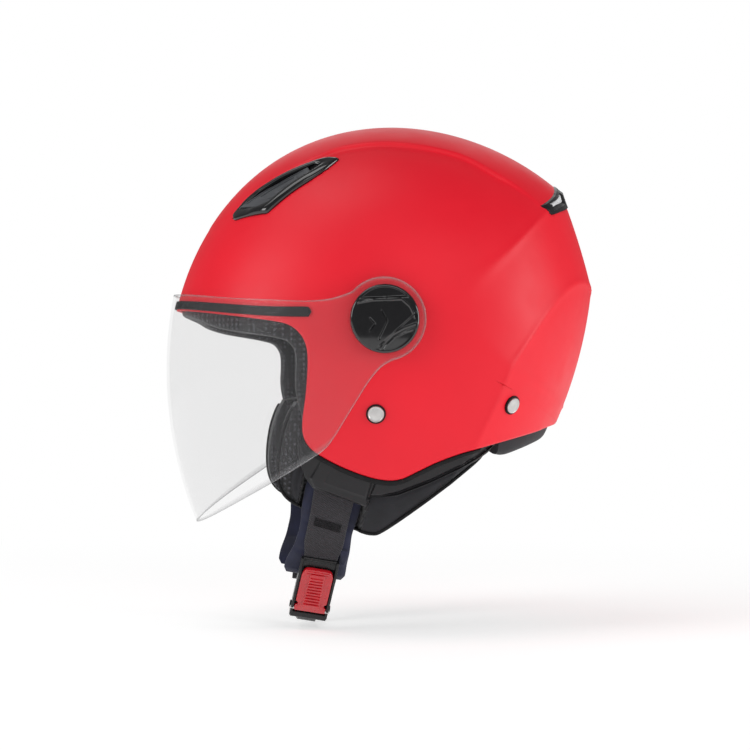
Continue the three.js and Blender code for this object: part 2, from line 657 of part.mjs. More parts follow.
// ---------------------------------------------------------------- rivets that hold the straps
for (const [name, frame] of Object.entries(rivetFrames)) {
  const top = rivet.washerHeight + 0.5;
  const r = rivet.headRadius;
  const head = [[r, top], [r * 0.94, top + 0.7], [r * 0.6, top + 1.3], [0, top + rivet.headHeight]];
  const tail = [[0, -9], [4.2, -9], [4.2, -7.8], [rivet.shankRadius, -7.8], [rivet.shankRadius, top]];
  addPair(`rivet_${name}`, turned([...tail, ...head], frame, 16), silver);
  const hole = rivet.shankRadius + 0.15;
  const ring = rod(washerRadius, -2, rivet.washerHeight + 0.2, frame, 20);
  addPair(`rivet_washer_${name}`, cut(ring, skin(-0.3, shellDetail), rod(hole, -9, 9, frame, 16)), rubber);
}

// ---------------------------------------------------------------- webbing legs inside the shell
const legStrip = common(cut(legOuter, legInner),
  union(legSide(frontLeg), roundEnd(rivetPlaces.front, strap.legWidth / 2)));
addPair('strap_leg_front', cut(legStrip, rod(rivet.shankRadius + 0.15, -30, 10, rivetFrames.front, 16)),
  webbingBlack);
const rearStrip = common(cut(legOuter, legInner),
  union(legSide(rearLeg), roundEnd(rivetPlaces.rear, rearLegWidth / 2)));
addPair('strap_leg_rear', cut(
  rearStrip,
  legSide(sideStrip(rivetPlaces.front, frontFoot, strap.legWidth + 0.8, 30)),
  rod(rivet.shankRadius + 0.15, -30, 10, rivetFrames.rear, 16),
), webbingBlack);

// ---------------------------------------------------------------- visor pivots
const pivotRoot = shell.halfWidth - 21;
const baseRadius = cover.radius - pivot.baseRim;
const baseProfile = [[0, pivotRoot], [baseRadius, pivotRoot], [baseRadius, baseFace],
  [pivot.bossRadius, baseFace], [pivot.bossRadius, bossFace], [0, bossFace]];
addPair('pivot_base', cut(turned(baseProfile, pivotFrame), skin(-0.3, shellDetail), screwHole),
  blackPlastic);

const screwEnd = shell.halfWidth - 11;
const screwProfile = [[0, screwEnd], [pivot.screwRadius, screwEnd], [pivot.screwRadius, bossFace + 0.2],
  [4.3, bossFace + 0.2], [4.3, bossFace + 1.6], [0, bossFace + 1.9]];
addPair('pivot_screw', turned(screwProfile, pivotFrame, 24), silver);
const nutHole = rod(pivot.screwRadius + 0.05, pivotRoot, shell.halfWidth - 1, pivotFrame, 24);
addPair('pivot_nut', cut(rod(4.6, screwEnd + 1.5, screwEnd + 5, pivotFrame, 6), nutHole), silver);

// quarter-turn cover: two sunk flats leave a raised bar to grip
const rim = cover.radius;
const coverProfile = [[0, coverBack], [rim - 0.4, coverBack], [rim, coverBack + 0.4],
  [rim, coverFace - 1.2],
  [rim - 1.2, coverFace - 0.2], [rim - 2.4, coverFace], [0, coverFace]];
const hubInner = pivot.bossRadius + 0.5;
const below = coverBack - 6;
const hubRoom = turned([[0, below], [hubInner, below], [hubInner, coverFace - 1.6], [0, coverFace - 1.6]],
  pivotFrame);
const ringRoom = cut(
  rod(rim - cover.wall, below, coverFace - 3.2, pivotFrame, 24),
  rod(hubInner + cover.hubWall, 0, FAR, pivotFrame, 20),
);
const flatTop = [...arc([0, 0], rim - 1.4, 27, 147, 10)];
const flatLow = [...arc([0, 0], rim - 1.4, -98, 4, 9)];
const chevron = (y, reachZ) => [[y, 0.6 + reachZ], [y + 3.4, 0], [y - 1.4, -reachZ * 1.6],
  [y - 0.6, -reachZ * 1.6], [y + 4.3, 0], [y + 0.9, 0.6 + reachZ]];
addPair('pivot_cover', cut(
  turned(coverProfile, pivotFrame, 32),
  hubRoom,
  ringRoom,
  side(flatTop, coverFace - 1.4, FAR),
  side(flatLow, coverFace - 1.4, FAR),
  side(chevron(-9.4, 2.4).map(([y, z]) => [y, z - 3]), coverFace - 0.6, FAR),
  side(chevron(-1.6, 4.2).map(([y, z]) => [y, z - 2]), coverFace - 0.6, FAR),
), glossBlack);

// ---------------------------------------------------------------- clear visor
function visorReach(d, profileY, inset) {
  const circle = { y: profileY, z: visor.profile.z, radius: visor.profile.radius - inset };
  const rho = rayCircle(circle, [0, 0], ...section(d));
  return reach(rho, shell.halfWidth + visor.flare - inset, visor.roundness, d);
}

// points of the brow that the visor passes over, and the visor's least stand-off from them
const browPoints = visor.browX.flatMap((x) => visor.browZ.map((z) => {
  const from = vec(x, shell.centre[0], z);
  return from.addScaledVector(forward, skinAlong(from, forward));
}));
const standOff = (profileY) => Math.min(...browPoints.map((p) => (
  visorReach(p.clone().normalize(), profileY, visor.thickness) - p.length())));
const profileY = halved(0, FAR, (y) => standOff(y) > visor.browGap);

function visorForm(inset) {
  const form = (d) => visorReach(d, profileY, inset);
  const flat = earFace - inset;
  const slab = side([[-FAR, -FAR], [FAR, -FAR], [FAR, FAR], [-FAR, FAR]], -flat, flat);
  return common(blob(form, 0, visorDetail, [0, 0, 0]), slab);
}
add('visor', cut(
  common(cut(visorForm(0), visorForm(visor.thickness)), side(visorOutline)),
  rod(pivot.bossRadius + pivot.play, -FAR, FAR, sideFrame, 32),
), clear);

// ---------------------------------------------------------------- chin strap and buckle
const half = strap.thickness / 2;
const wide = buckle.width / 2;
const mouth = wide - buckle.wall;
const leftStrap = ribbon(strapPath, half, -half, strap.width);
// the strap narrows to the buckle's mouth
const taper = (s) => prism(
  [[-12, s * 60], [-12, s * (wide + 0.6)], [-4, s * mouth], [4, s * mouth], [4, s * 60]],
  buckleFrame, -9, 9,
);
add('strap_left', cut(leftStrap, taper(-1), taper(1)), webbingBlack);

const padPath = smooth([[root - 2.8, 3], ...hang.slice(2), inBuckle(12, -0.4), inBuckle(24, -0.6)], 3);
const strapPad = ribbon(padPath, -half - gap, -half - gap - strap.padThickness, strap.padWidth);
addPair('strap_pad', strapPad, navy);

// buckle: a channel with a floor, two side walls, a lower bar, a lever on a pin and a toothed tongue
const floorPlate = prism([[0, -wide], [buckle.length, -wide], [buckle.length, wide], [0, wide]],
  buckleFrame, 1.9, 3.3);
const wallOutline = [[0, 1.9], [buckle.length, 1.9], [buckle.length, buckle.height - 1],
  [buckle.length - 3, buckle.height],
  [8, buckle.height], [0, 5.2]];
const wallFrame = { o: buckleFrame.o, u: buckleFrame.u, v: buckleFrame.w,
  w: buckleFrame.u.clone().cross(buckleFrame.w) };
const wallAt = (w0, w1) => prism(wallOutline, wallFrame, w0, w1);
const lowerBar = prism([[buckle.length - 5.4, 6.1], [buckle.length, 6.1],
  [buckle.length, buckle.height - 0.6],
  [buckle.length - 4.8, buckle.height - 0.2]], wallFrame, -wide + 0.5, wide - 0.5);
const pinFrame = { ...wallFrame, o: wallFrame.o.clone()
  .addScaledVector(wallFrame.u, buckle.pinAt).addScaledVector(wallFrame.v, 7.8) };
const crossPin = (radius, reachOut) => rod(radius, -reachOut, reachOut, pinFrame, 32);
add('buckle_frame', cut(
  union(floorPlate, wallAt(-wide, -wide + buckle.wall), wallAt(wide - buckle.wall, wide), lowerBar),
  crossPin(buckle.pinRadius + 0.05, 20),
), blackPlastic);
add('buckle_pin', crossPin(buckle.pinRadius, wide + 0.6), silver);

const leverHalf = mouth - 0.5;
const leverOutline = [...arc([11, leverHalf - 5], 5, 180, 90, 5), [36, leverHalf], [37, leverHalf - 1.6],
  [39, leverHalf - 1.6],
  [40, leverHalf], [44.4, leverHalf], [44.4, -leverHalf], [40, -leverHalf], [39, -leverHalf + 1.6],
  [37, -leverHalf + 1.6],
  [36, -leverHalf], ...arc([11, -leverHalf + 5], 5, -90, -180, 5)];
const ridges = Array.from({ length: 6 }, (_, i) => {
  const s = 14.5 + i * 3.8;
  return prism([[s, -4.6], [s + 1.8, -4.6], [s + 1.8, 4.6], [s, 4.6]], buckleFrame, 10.6, 11.4);
});
add('buckle_lever', cut(union(
  prism(leverOutline, buckleFrame, 6.3, 9.6),
  prism([[12, -5.4], [38, -6], [38, 6], [12, 5.4]], buckleFrame, 8, 10.8),
  rod(2.2, -leverHalf, leverHalf, pinFrame, 20),
  ...ridges,
), crossPin(buckle.pinRadius + 0.05, 20)), leverRed);

// toothed tongue: slides in over the buckle's floor, curves under the chin to the right strap
const tongueMid = 3.5 + tongue.thickness / 2;
const lead = inBuckle(buckle.length + 1, tongueMid);
const turnCentre = [lead[0] - outward.x * tongue.curve, lead[1] - outward.y * tongue.curve];
const bend = arc(turnCentre, tongue.curve, buckle.lean, 90, 5);
const flip = ([u, v]) => [-u, v];
const tonguePath = [inBuckle(tongue.tipAt, tongueMid), inBuckle(32, tongueMid), ...bend,
  ...bend.map(flip).reverse(),
  flip(inBuckle(34, tongueMid)), flip(inBuckle(14, tongueMid))];
const tongueBody = ribbon(tonguePath, tongue.thickness / 2 - tongue.toothHeight, -tongue.thickness / 2,
  tongue.width);
const teeth = Array.from({ length: 9 }, (_, i) => {
  const s = tongue.tipAt + 1 + i * tongue.toothPitch;
  const base = tongueMid + tongue.thickness / 2 - tongue.toothHeight;
  return prism([[s, base - 0.3], [s + 1.9, base - 0.3], [s + 0.4, base + tongue.toothHeight - 0.1],
    [s, base + tongue.toothHeight - 0.1]],
    wallFrame, -tongue.width / 2, tongue.width / 2);
});
add('tongue', union(tongueBody, ...teeth), blackPlastic);

const rightPath = [...strapPath, inBuckle(12, 0.9), inBuckle(30, 0.9)].map(flip).reverse();
add('strap_right', ribbon(rightPath, half, -half, strap.width * 0.9), webbingBlack);

export default helmet;
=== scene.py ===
"""Looks of an open-face motorcycle helmet with a long clear visor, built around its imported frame.

Front is -Y, the wearer's left is +X, up is +Z. Shapes are worked out in millimetres and put into
the meshes in metres. The origin is on the visor's pivot axis, midway between the pivots.
"""
import json
import math
import bmesh
import bpy
import numpy as np
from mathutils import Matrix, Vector


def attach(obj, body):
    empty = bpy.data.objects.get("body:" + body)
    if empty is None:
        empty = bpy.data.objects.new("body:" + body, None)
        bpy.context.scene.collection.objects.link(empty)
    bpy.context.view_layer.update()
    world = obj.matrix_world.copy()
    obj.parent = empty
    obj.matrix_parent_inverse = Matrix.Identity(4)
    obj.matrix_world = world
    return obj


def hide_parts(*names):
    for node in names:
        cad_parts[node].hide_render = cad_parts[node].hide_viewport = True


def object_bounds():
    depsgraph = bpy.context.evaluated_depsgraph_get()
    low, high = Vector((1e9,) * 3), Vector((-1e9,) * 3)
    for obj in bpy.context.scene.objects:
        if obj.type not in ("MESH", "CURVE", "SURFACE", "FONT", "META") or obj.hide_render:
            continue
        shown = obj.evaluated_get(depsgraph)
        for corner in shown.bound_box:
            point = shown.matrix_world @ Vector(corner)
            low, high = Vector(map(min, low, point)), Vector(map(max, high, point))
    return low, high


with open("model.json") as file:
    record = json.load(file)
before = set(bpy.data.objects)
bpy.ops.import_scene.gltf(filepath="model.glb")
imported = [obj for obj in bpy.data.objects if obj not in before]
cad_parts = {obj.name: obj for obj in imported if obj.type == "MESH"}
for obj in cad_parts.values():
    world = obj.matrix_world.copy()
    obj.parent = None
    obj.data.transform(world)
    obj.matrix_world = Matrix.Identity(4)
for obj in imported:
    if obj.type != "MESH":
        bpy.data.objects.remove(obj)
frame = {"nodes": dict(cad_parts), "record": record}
cad_box = [list(corner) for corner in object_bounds()]
nodes = frame["nodes"]
MM = 0.001
SIDES = (("left", 1.0), ("right", -1.0))

# ------------------------------------------------------------------ camera, floor and light
EYE = (1.694, -0.1434, -0.0365)
AIM = (0.00042, 0.00478, -0.0365)
LENS = 116.6
SENSOR = 36.0
camera_data = bpy.data.cameras.new("studio_camera")
camera_data.sensor_width = SENSOR
camera_data.lens = LENS
camera_data.clip_start = 0.05
camera_data.clip_end = 50.0
camera = bpy.data.objects.new("studio_camera", camera_data)
bpy.context.scene.collection.objects.link(camera)
camera.location = EYE
camera.rotation_mode = "QUATERNION"
camera.rotation_quaternion = (Vector(AIM) - Vector(EYE)).to_track_quat("-Z", "Y")
bpy.context.scene.camera = camera


def soft_light(name, place, size, power):
    """A square soft box of a size in metres at a place, turned to face the helmet."""
    data = bpy.data.lights.new(name, "AREA")
    data.shape = "SQUARE"
    data.size = size
    data.energy = power
    light = bpy.data.objects.new(name, data)
    bpy.context.scene.collection.objects.link(light)
    light.location = place
    light.rotation_mode = "QUATERNION"
    light.rotation_quaternion = (Vector((0, 0, -0.02)) - Vector(place)).to_track_quat("-Z", "Y")


soft_light("top_box", (0.35, -0.7, 1.6), 1.1, 7.8)
soft_light("front_box", (0.8, -1.6, 0.55), 0.9, 11.6)
soft_light("rear_box", (0.75, 1.6, 0.1), 1.0, 17.0)
soft_light("camera_box", (1.9, 0.3, 0.9), 0.9, 4.0)
soft_light("far_box", (-1.5, 0.2, 0.9), 1.2, 4.4)

ROOM_LIGHT = 0.2
world = bpy.data.worlds.new("studio")
bpy.context.scene.world = world
world.use_nodes = True
backdrop = world.node_tree.nodes["Background"]
backdrop.inputs["Color"].default_value = (1.0, 1.0, 1.0, 1.0)
# the room behind the helmet is white, and its share of the light is held back so that the forms read
rays = world.node_tree.nodes.new("ShaderNodeLightPath")
share = world.node_tree.nodes.new("ShaderNodeMapRange")
share.inputs["To Min"].default_value = ROOM_LIGHT
share.inputs["To Max"].default_value = 1.0
world.node_tree.links.new(rays.outputs["Is Camera Ray"], share.inputs["Value"])
world.node_tree.links.new(share.outputs["Result"], backdrop.inputs["Strength"])
bpy.context.scene.view_settings.view_transform = "Standard"


# ------------------------------------------------------------------ the helmet's form
# The form is built round a middle point in the plane x = 0. In side view each stretch of it is an arc,
# given as its middle's y and z and its radius, or the tilted crown ellipse.
MIDDLE = (28.0, 2.0)
CROWN_MIDDLE = (60.0, -93.0)
CROWN_AXES = (240.7, 185.3)
CROWN_TILT = math.radians(118.6)
BROW_ARC = (10, -12, 172)
BACK_ARC = (-323.5, -91.4, 492.4)
NAPE_ARC = (-152.3, 55.8, 310.6)
VISOR_ARC = (137.5, -32.8, 278.0)
CROWN_BLEND = 30
HALF_WIDTH = 121.0
ROUNDNESS = 2.2
NAPE_HALF_WIDTH = 140.0
NAPE_ROUNDNESS = 1.8
CREASE = 0.5
RIDGE = 0.45
RIDGE_SPREAD = 0.7
BAND_LEAST = 0.3
BAND_STEP = 1.9
BAND_FADE = 40
WALL = 3.5
BAND_EDGE = np.array([[-150, 45], [-96, 74], [-66, 98], [-42, 110], [-21, 118], [12, 120.4], [53, 113.2],
                      [77, 101], [104, 83], [150, 40]], float)


def turns(count):
    """Angles at equal steps round a full turn."""
    return np.linspace(0, 2 * math.pi, count, endpoint=False)


def unit(v):
    """Vectors scaled to length 1."""
    return v / np.linalg.norm(v, axis=-1, keepdims=True)


def spread(*values):
    """Values as arrays of one shape."""
    return np.broadcast_arrays(*[np.asarray(v, float) for v in values])


def run_of(points):
    """Length along a polyline up to each of its points."""
    return np.concatenate([[0], np.cumsum(np.linalg.norm(np.diff(points, axis=0), axis=1))])


def circle_reach(cy, cz, radius, uy, uz, origin=MIDDLE):
    """Distance from the origin along (uy, uz) to a circle: the larger root of the ray and circle."""
    ey, ez = origin[0] - cy, origin[1] - cz
    b = ey * uy + ez * uz
    return -b + np.sqrt(b * b - (ey * ey + ez * ez - radius ** 2))


def ellipse_reach(uy, uz):
    """Distance from the middle to the tilted crown ellipse, as the circle's root in the ellipse's own
    scale."""
    ca, sa = math.cos(CROWN_TILT), math.sin(CROWN_TILT)
    long, short = CROWN_AXES
    ey, ez = MIDDLE[0] - CROWN_MIDDLE[0], MIDDLE[1] - CROWN_MIDDLE[1]
    p, q = (ey * ca + ez * sa) / long, (ez * ca - ey * sa) / short
    u, v = (uy * ca + uz * sa) / long, (uz * ca - uy * sa) / short
    a = u * u + v * v
    b = p * u + q * v
    return (-b + np.sqrt(b * b - a * (p * p + q * q - 1))) / a


def soft_min(a, b, k):
    """The lesser of two values, with a rounded change of width k between them."""
    h = np.clip(0.5 + 0.5 * (b - a) / k, 0, 1)
    return b * (1 - h) + a * h - k * h * (1 - h)


def step(x, lo, hi):
    """0 below lo, 1 above hi, and the cubic 3t^2 - 2t^3 between."""
    t = np.clip((x - lo) / (hi - lo), 0, 1)
    return t * t * (3 - 2 * t)


def rounded(rho, half, power, x, side):
    """Distance along a direction (x, side) to the form (x/half)^power + (side/rho)^power = 1."""
    return ((np.abs(x) / half) ** power + (side / rho) ** power) ** (-1 / power)


def skin_reach(d):
    """Distance from the middle to the outer skin along unit directions d: the least of the crown, the
    back and the nape forms, with the crown lowered below the edge of its raised band and a low ridge, a
    normal curve of the difference between two forms, along the creases where they meet."""
    across = np.hypot(d[..., 1], d[..., 2]) + 1e-9
    uy, uz = d[..., 1] / across, d[..., 2] / across
    x = d[..., 0]
    top = soft_min(ellipse_reach(uy, uz), circle_reach(*BROW_ARC, uy, uz), CROWN_BLEND)
    crown = rounded(top, HALF_WIDTH, ROUNDNESS, x, across)
    y, z = MIDDLE[0] + d[..., 1] * crown, MIDDLE[1] + d[..., 2] * crown
    below = np.interp(y, BAND_SMOOTH[:, 0], BAND_SMOOTH[:, 1]) - z
    drop = BAND_LEAST + BAND_STEP * step(y, -80, -25) * (1 - step(y, 78, 112))
    crown = crown - drop * np.exp(-np.maximum(below, 0) / BAND_FADE) * step(below, -0.3, 1.3)
    back = rounded(circle_reach(*BACK_ARC, uy, uz), HALF_WIDTH, ROUNDNESS, x, across)
    nape = rounded(circle_reach(*NAPE_ARC, uy, uz), NAPE_HALF_WIDTH, NAPE_ROUNDNESS, x, across)
    upper = soft_min(crown, back, CREASE)
    raised = np.exp(-((crown - back) / RIDGE_SPREAD) ** 2) + np.exp(-((upper - nape) / RIDGE_SPREAD) ** 2)
    return soft_min(upper, nape, CREASE) + RIDGE * np.clip(raised, 0, 1)


def curve(points, count):
    """A smooth line through points (Catmull-Rom), as count points at equal steps along it."""
    p = np.array(points, float)
    ext = np.vstack([2 * p[0] - p[1], p, 2 * p[-1] - p[-2]])
    t = np.linspace(0, len(p) - 1 - 1e-9, max(400, 20 * len(p)))
    i = t.astype(int)
    f = (t - i)[:, None]
    a, b, c, d = ext[i], ext[i + 1], ext[i + 2], ext[i + 3]
    square, cube = 2 * a - 5 * b + 4 * c - d, 3 * b - a - 3 * c + d
    dense = 0.5 * (2 * b + (c - a) * f + square * f ** 2 + cube * f ** 3)
    return even(dense, count)


def even(points, count, closed=False):
    """The same polyline as count points at equal steps of length."""
    p = np.vstack([points, points[:1]]) if closed else np.asarray(points, float)
    run = run_of(p)
    at = np.linspace(0, run[-1], count + 1)[:-1] if closed else np.linspace(0, run[-1], count)
    return np.stack([np.interp(at, run, p[:, k]) for k in range(p.shape[1])], axis=1)


BAND_SMOOTH = curve(BAND_EDGE, 240)


def depth_of(p):
    """How far below the skin points p are, measured towards the middle."""
    v = p - np.array([0.0, *MIDDLE])
    r = np.linalg.norm(v, axis=-1)
    return skin_reach(v / (r[..., None] + 1e-12)) - r


def solve(at, inset, lo, hi, rounds=34):
    """The largest step in [lo, hi] at which at(step) is still deeper than inset, by halving."""
    lo, hi = np.broadcast_arrays(np.array(lo, float), np.array(hi, float))
    lo, hi = lo.copy(), hi.copy()
    for _ in range(rounds):
        mid = (lo + hi) / 2
        deep = depth_of(at(mid)) > inset
        lo, hi = np.where(deep, mid, lo), np.where(deep, hi, mid)
    return lo


def skin_x(y, z, inset=0.0):
    """x of the left half of the form, inset below the skin, at y and z."""
    y, z = spread(y, z)
    return solve(lambda x: np.stack([x, y, z], -1), inset, np.zeros(y.shape), 160.0)


def skin_normal(p):
    """Outward unit normal of the form at points p, from differences of depth."""
    e = 0.4
    return unit(np.stack([depth_of(p - e * a) - depth_of(p + e * a) for a in np.eye(3)], -1))


def line_distance(p, a, b):
    """Distance of plane points p to the nearest of the segments from a to b."""
    ab = b - a
    ap = p[..., None, :] - a
    t = np.clip((ap * ab).sum(-1) / (ab * ab).sum(-1), 0, 1)
    return np.linalg.norm(ap - t[..., None] * ab, axis=-1).min(-1)


def outline_depth(p, outline):
    """Distance of plane points p to a closed outline, positive inside it."""
    a = np.asarray(outline, float)
    b = np.roll(a, -1, axis=0)
    ab = b - a
    away = line_distance(p, a, b)
    y = p[..., 1, None]
    over = (a[:, 1] > y) != (b[:, 1] > y)
    rise = np.where(np.abs(ab[:, 1]) < 1e-12, 1e-12, ab[:, 1])
    cross = p[..., 0, None] < a[:, 0] + (y - a[:, 1]) / rise * ab[:, 0]
    inside = (over & cross).sum(-1) % 2 == 1
    return np.where(inside, away, -away)


# ------------------------------------------------------------------ meshes
def mesh_piece(name, points, quads, tris=None, uv=None, crisp=35.0):
    """A mesh of the given points in millimetres, made closed and facing out, smooth except past the crisp
    angle."""
    quads = np.asarray(quads, np.int32).reshape(-1, 4)
    tris = np.asarray([] if tris is None else tris, np.int32).reshape(-1, 3)
    mesh = bpy.data.meshes.new(name)
    corners = np.concatenate([quads.ravel(), tris.ravel()])
    starts = np.concatenate([np.arange(len(quads)) * 4, len(quads) * 4 + np.arange(len(tris)) * 3])
    mesh.vertices.add(len(points))
    mesh.vertices.foreach_set("co", (np.asarray(points) * MM).astype(np.float32).ravel())
    mesh.loops.add(len(corners))
    mesh.loops.foreach_set("vertex_index", corners.astype(np.int32))
    mesh.polygons.add(len(starts))
    mesh.polygons.foreach_set("loop_start", starts.astype(np.int32))
    mesh.update(calc_edges=True)
    if uv is not None:
        layer = mesh.uv_layers.new(name="weave")
        layer.data.foreach_set("uv", np.asarray(uv)[corners].astype(np.float32).ravel())
    bm = bmesh.new()
    bm.from_mesh(mesh)
    bmesh.ops.remove_doubles(bm, verts=bm.verts, dist=2e-6)
    bmesh.ops.dissolve_degenerate(bm, edges=bm.edges, dist=1e-6)
    bmesh.ops.recalc_face_normals(bm, faces=bm.faces)
    bm.to_mesh(mesh)
    bm.free()
    mesh.polygons.foreach_set("use_smooth", [True] * len(mesh.polygons))
    mesh.set_sharp_from_angle(angle=math.radians(crisp))
    piece = bpy.data.objects.new(name, mesh)
    bpy.context.scene.collection.objects.link(piece)
    return piece


def grid_quads(rows, cols):
    """Quads of a grid of points numbered row by row, each row a closed ring."""
    i = np.arange(rows - 1)[:, None] * cols
    j = np.arange(cols)[None, :]
    j2 = (j + 1) % cols
    return np.stack([i + j, i + j2, i + cols + j2, i + cols + j], -1).reshape(-1, 4)


def rings_piece(name, rings, sign=1.0, crisp=35.0, caps=True):
    """A surface through a row of closed rings (n, k, 3), mirrored across x = 0 when sign is -1; its ends
    are closed by fans to their middles. The texture map is the length along the rings' middles and the
    length round each ring, in cm."""
    rings = np.asarray(rings) * [sign, 1.0, 1.0]
    n, k, _ = rings.shape
    points = rings.reshape(-1, 3)
    middle = rings.mean(axis=1)
    leap = np.linalg.norm(np.roll(rings, -1, axis=1) - rings, axis=2)
    around = np.cumsum(leap, axis=1) - leap
    uv = np.stack([np.repeat(run_of(middle)[:, None], k, 1), around], -1).reshape(-1, 2) / 10
    tris = []
    if caps:
        points = np.vstack([points, middle[0], middle[-1]])
        uv = np.vstack([uv, uv[0], uv[(n - 1) * k]])
        j = np.arange(k)
        j2 = (j + 1) % k
        tris = np.concatenate([
            np.stack([np.full(k, n * k), j2, j], -1),
            np.stack([np.full(k, n * k + 1), (n - 1) * k + j, (n - 1) * k + j2], -1),
        ])
    return mesh_piece(name, points, grid_quads(n, k), tris, uv, crisp)


def oval(count, squareness):
    """Points of a rounded box |a|^m + |b|^m = 1 by angle, with m = 2 / squareness."""
    t = turns(count) + math.pi / count
    c, s = np.cos(t), np.sin(t)
    return np.sign(c) * np.abs(c) ** squareness, np.sign(s) * np.abs(s) ** squareness


# ------------------------------------------------------------------ materials
class Finish:
    """A node material: one Principled shader, with patterns from Object coordinates in metres or the
    weave map."""

    def __init__(self, name, colour, roughness, **constants):
        self.material = bpy.data.materials.new(name)
        self.material.use_nodes = True
        self.material.diffuse_color = (*colour, 1.0)
        self.tree = self.material.node_tree
        self.shader = self.tree.nodes["Principled BSDF"]
        self.colour = colour
        self.shader.inputs["Base Color"].default_value = (*colour, 1.0)
        self.shader.inputs["Roughness"].default_value = roughness
        for key, value in constants.items():
            self.shader.inputs[key.replace("_", " ")].default_value = value
        self.place = self.tree.nodes.new("ShaderNodeTexCoord")
        self.normal = None

    def link(self, a, b):
        self.tree.links.new(a, b)

    def node(self, kind, **values):
        """A shader node whose inputs are set to numbers or linked to sockets."""
        n = self.tree.nodes.new("ShaderNode" + kind)
        for key, value in values.items():
            if isinstance(value, bpy.types.NodeSocket):
                self.link(value, n.inputs[key])
            else:
                n.inputs[key].default_value = value
        return n

    def noise(self, scale, detail=2.0, rough=0.5):
        place = self.place.outputs["Object"]
        return self.node("TexNoise", Vector=place, Scale=scale, Detail=detail, Roughness=rough).outputs["Fac"]

    def cells(self, scale, randomness=1.0, stretch=(1.0, 1.0, 1.0)):
        place = self.node("Mapping", Vector=self.place.outputs["Object"], Scale=stretch).outputs["Vector"]
        return self.node("TexVoronoi", Vector=place, Scale=scale, Randomness=randomness).outputs["Distance"]

    def bands(self, scale, turn):
        place = self.node("Mapping", Vector=self.place.outputs["UV"], Rotation=turn).outputs["Vector"]
        return self.node("TexWave", Vector=place, Scale=scale, Distortion=0.0, Detail=0.0).outputs["Fac"]

    def ramp(self, fac, stops):
        n = self.node("ValToRGB", Fac=fac)
        for e, (at, colour) in zip(n.color_ramp.elements, stops):
            e.position = at
            e.color = (*colour, 1.0)
        return n.outputs["Color"]

    def math(self, kind, a, b):
        n = self.tree.nodes.new("ShaderNodeMath")
        n.operation = kind
        for socket, value in zip(n.inputs, (a, b)):
            if isinstance(value, (int, float)):
                socket.default_value = value
            else:
                self.link(value, socket)
        return n.outputs[0]

    def tint(self, fac, low, high, lo=0.3, hi=0.7):
        self.link(self.ramp(fac, [(lo, low), (hi, high)]), self.shader.inputs["Base Color"])

    def rough(self, fac, low, high, lo=0.3, hi=0.7):
        self.link(self.ramp(fac, [(lo, (low,) * 3), (hi, (high,) * 3)]), self.shader.inputs["Roughness"])

    def bump(self, height, distance, strength=1.0):
        n = self.node("Bump", Height=height, Distance=distance, Strength=strength)
        if self.normal:
            self.link(self.normal, n.inputs["Normal"])
        self.normal = n.outputs["Normal"]
        self.link(self.normal, self.shader.inputs["Normal"])


def dull(colour, by):
    """A colour made darker, or lighter where by is over 1."""
    return tuple(min(1.0, c * by) for c in colour)


def matte_paint():
    """Matt red lacquer: a slight cloudiness in the colour and the gloss, and a very fine grain."""
    red = (0.84, 0.006, 0.022)
    f = Finish("matt_red_lacquer", red, 0.46, Specular_IOR_Level=0.36, Coat_Weight=0.03, Coat_Roughness=0.5)
    f.tint(f.noise(14.0, 3.0), dull(red, 0.965), dull(red, 1.03))
    f.rough(f.noise(60.0, 4.0), 0.43, 0.5)
    f.bump(f.noise(2600.0, 2.0), 0.00002, 0.5)
    return f.material


def moulded_plastic(name, colour, roughness, grain=1800.0, depth=0.00006):
    """Satin moulded plastic: a spark-eroded grain, with small changes of tone and gloss."""
    f = Finish(name, colour, roughness, Specular_IOR_Level=0.42)
    f.tint(f.noise(30.0, 4.0), dull(colour, 0.85), dull(colour, 1.3))
    f.rough(f.noise(220.0, 3.0), roughness - 0.07, roughness + 0.08)
    f.bump(f.cells(grain), depth, 0.45)
    return f.material


def gloss_plastic(name, colour, roughness=0.08):
    """Polished plastic with a clear top coat and faint handling marks in its gloss."""
    f = Finish(name, colour, roughness, Coat_Weight=0.6, Coat_Roughness=0.04)
    f.rough(f.noise(90.0, 5.0, 0.7), roughness, roughness + 0.1, 0.45, 0.75)
    f.tint(f.noise(40.0, 2.0), dull(colour, 0.9), dull(colour, 1.1))
    return f.material


def mesh_cloth(name, colour):
    """Spacer mesh: rows of small raised knots and a soft fuzz, with a painted highlight on the knots' tops
    and painted shade in the gaps between them.
    """
    f = Finish(name, colour, 0.9, Sheen_Weight=0.25, Sheen_Roughness=0.5)
    knots = f.cells(370.0, 0.18, stretch=(1.0, 1.0, 0.82))
    fuzz = f.noise(1500.0, 3.0)
    knot_highlight_and_gap_shade = f.math("ADD", knots, f.math("MULTIPLY", fuzz, 0.12))
    # painted light: the knots' centres are made paler as a painted highlight, and the gaps between them
    # darker as painted shade
    f.tint(knot_highlight_and_gap_shade, dull(colour, 5.5), dull(colour, 0.3), 0.12, 0.5)
    f.bump(f.math("MULTIPLY", knots, -1.0), 0.0007, 0.8)
    f.bump(fuzz, 0.00015, 0.5)
    return f.material


def plain_cloth(name, colour, weave=1300.0, sheen=0.35, fold=0.0006):
    """Brushed cloth: a fine criss-cross weave, soft wrinkles and a light sheen."""
    f = Finish(name, colour, 0.88, Sheen_Weight=sheen, Sheen_Roughness=0.45)
    f.tint(f.noise(80.0, 5.0), dull(colour, 0.75), dull(colour, 1.35))
    f.bump(f.noise(42.0, 2.0), fold, 0.6)
    f.bump(f.cells(weave, 0.4), 0.00012, 0.6)
    return f.material


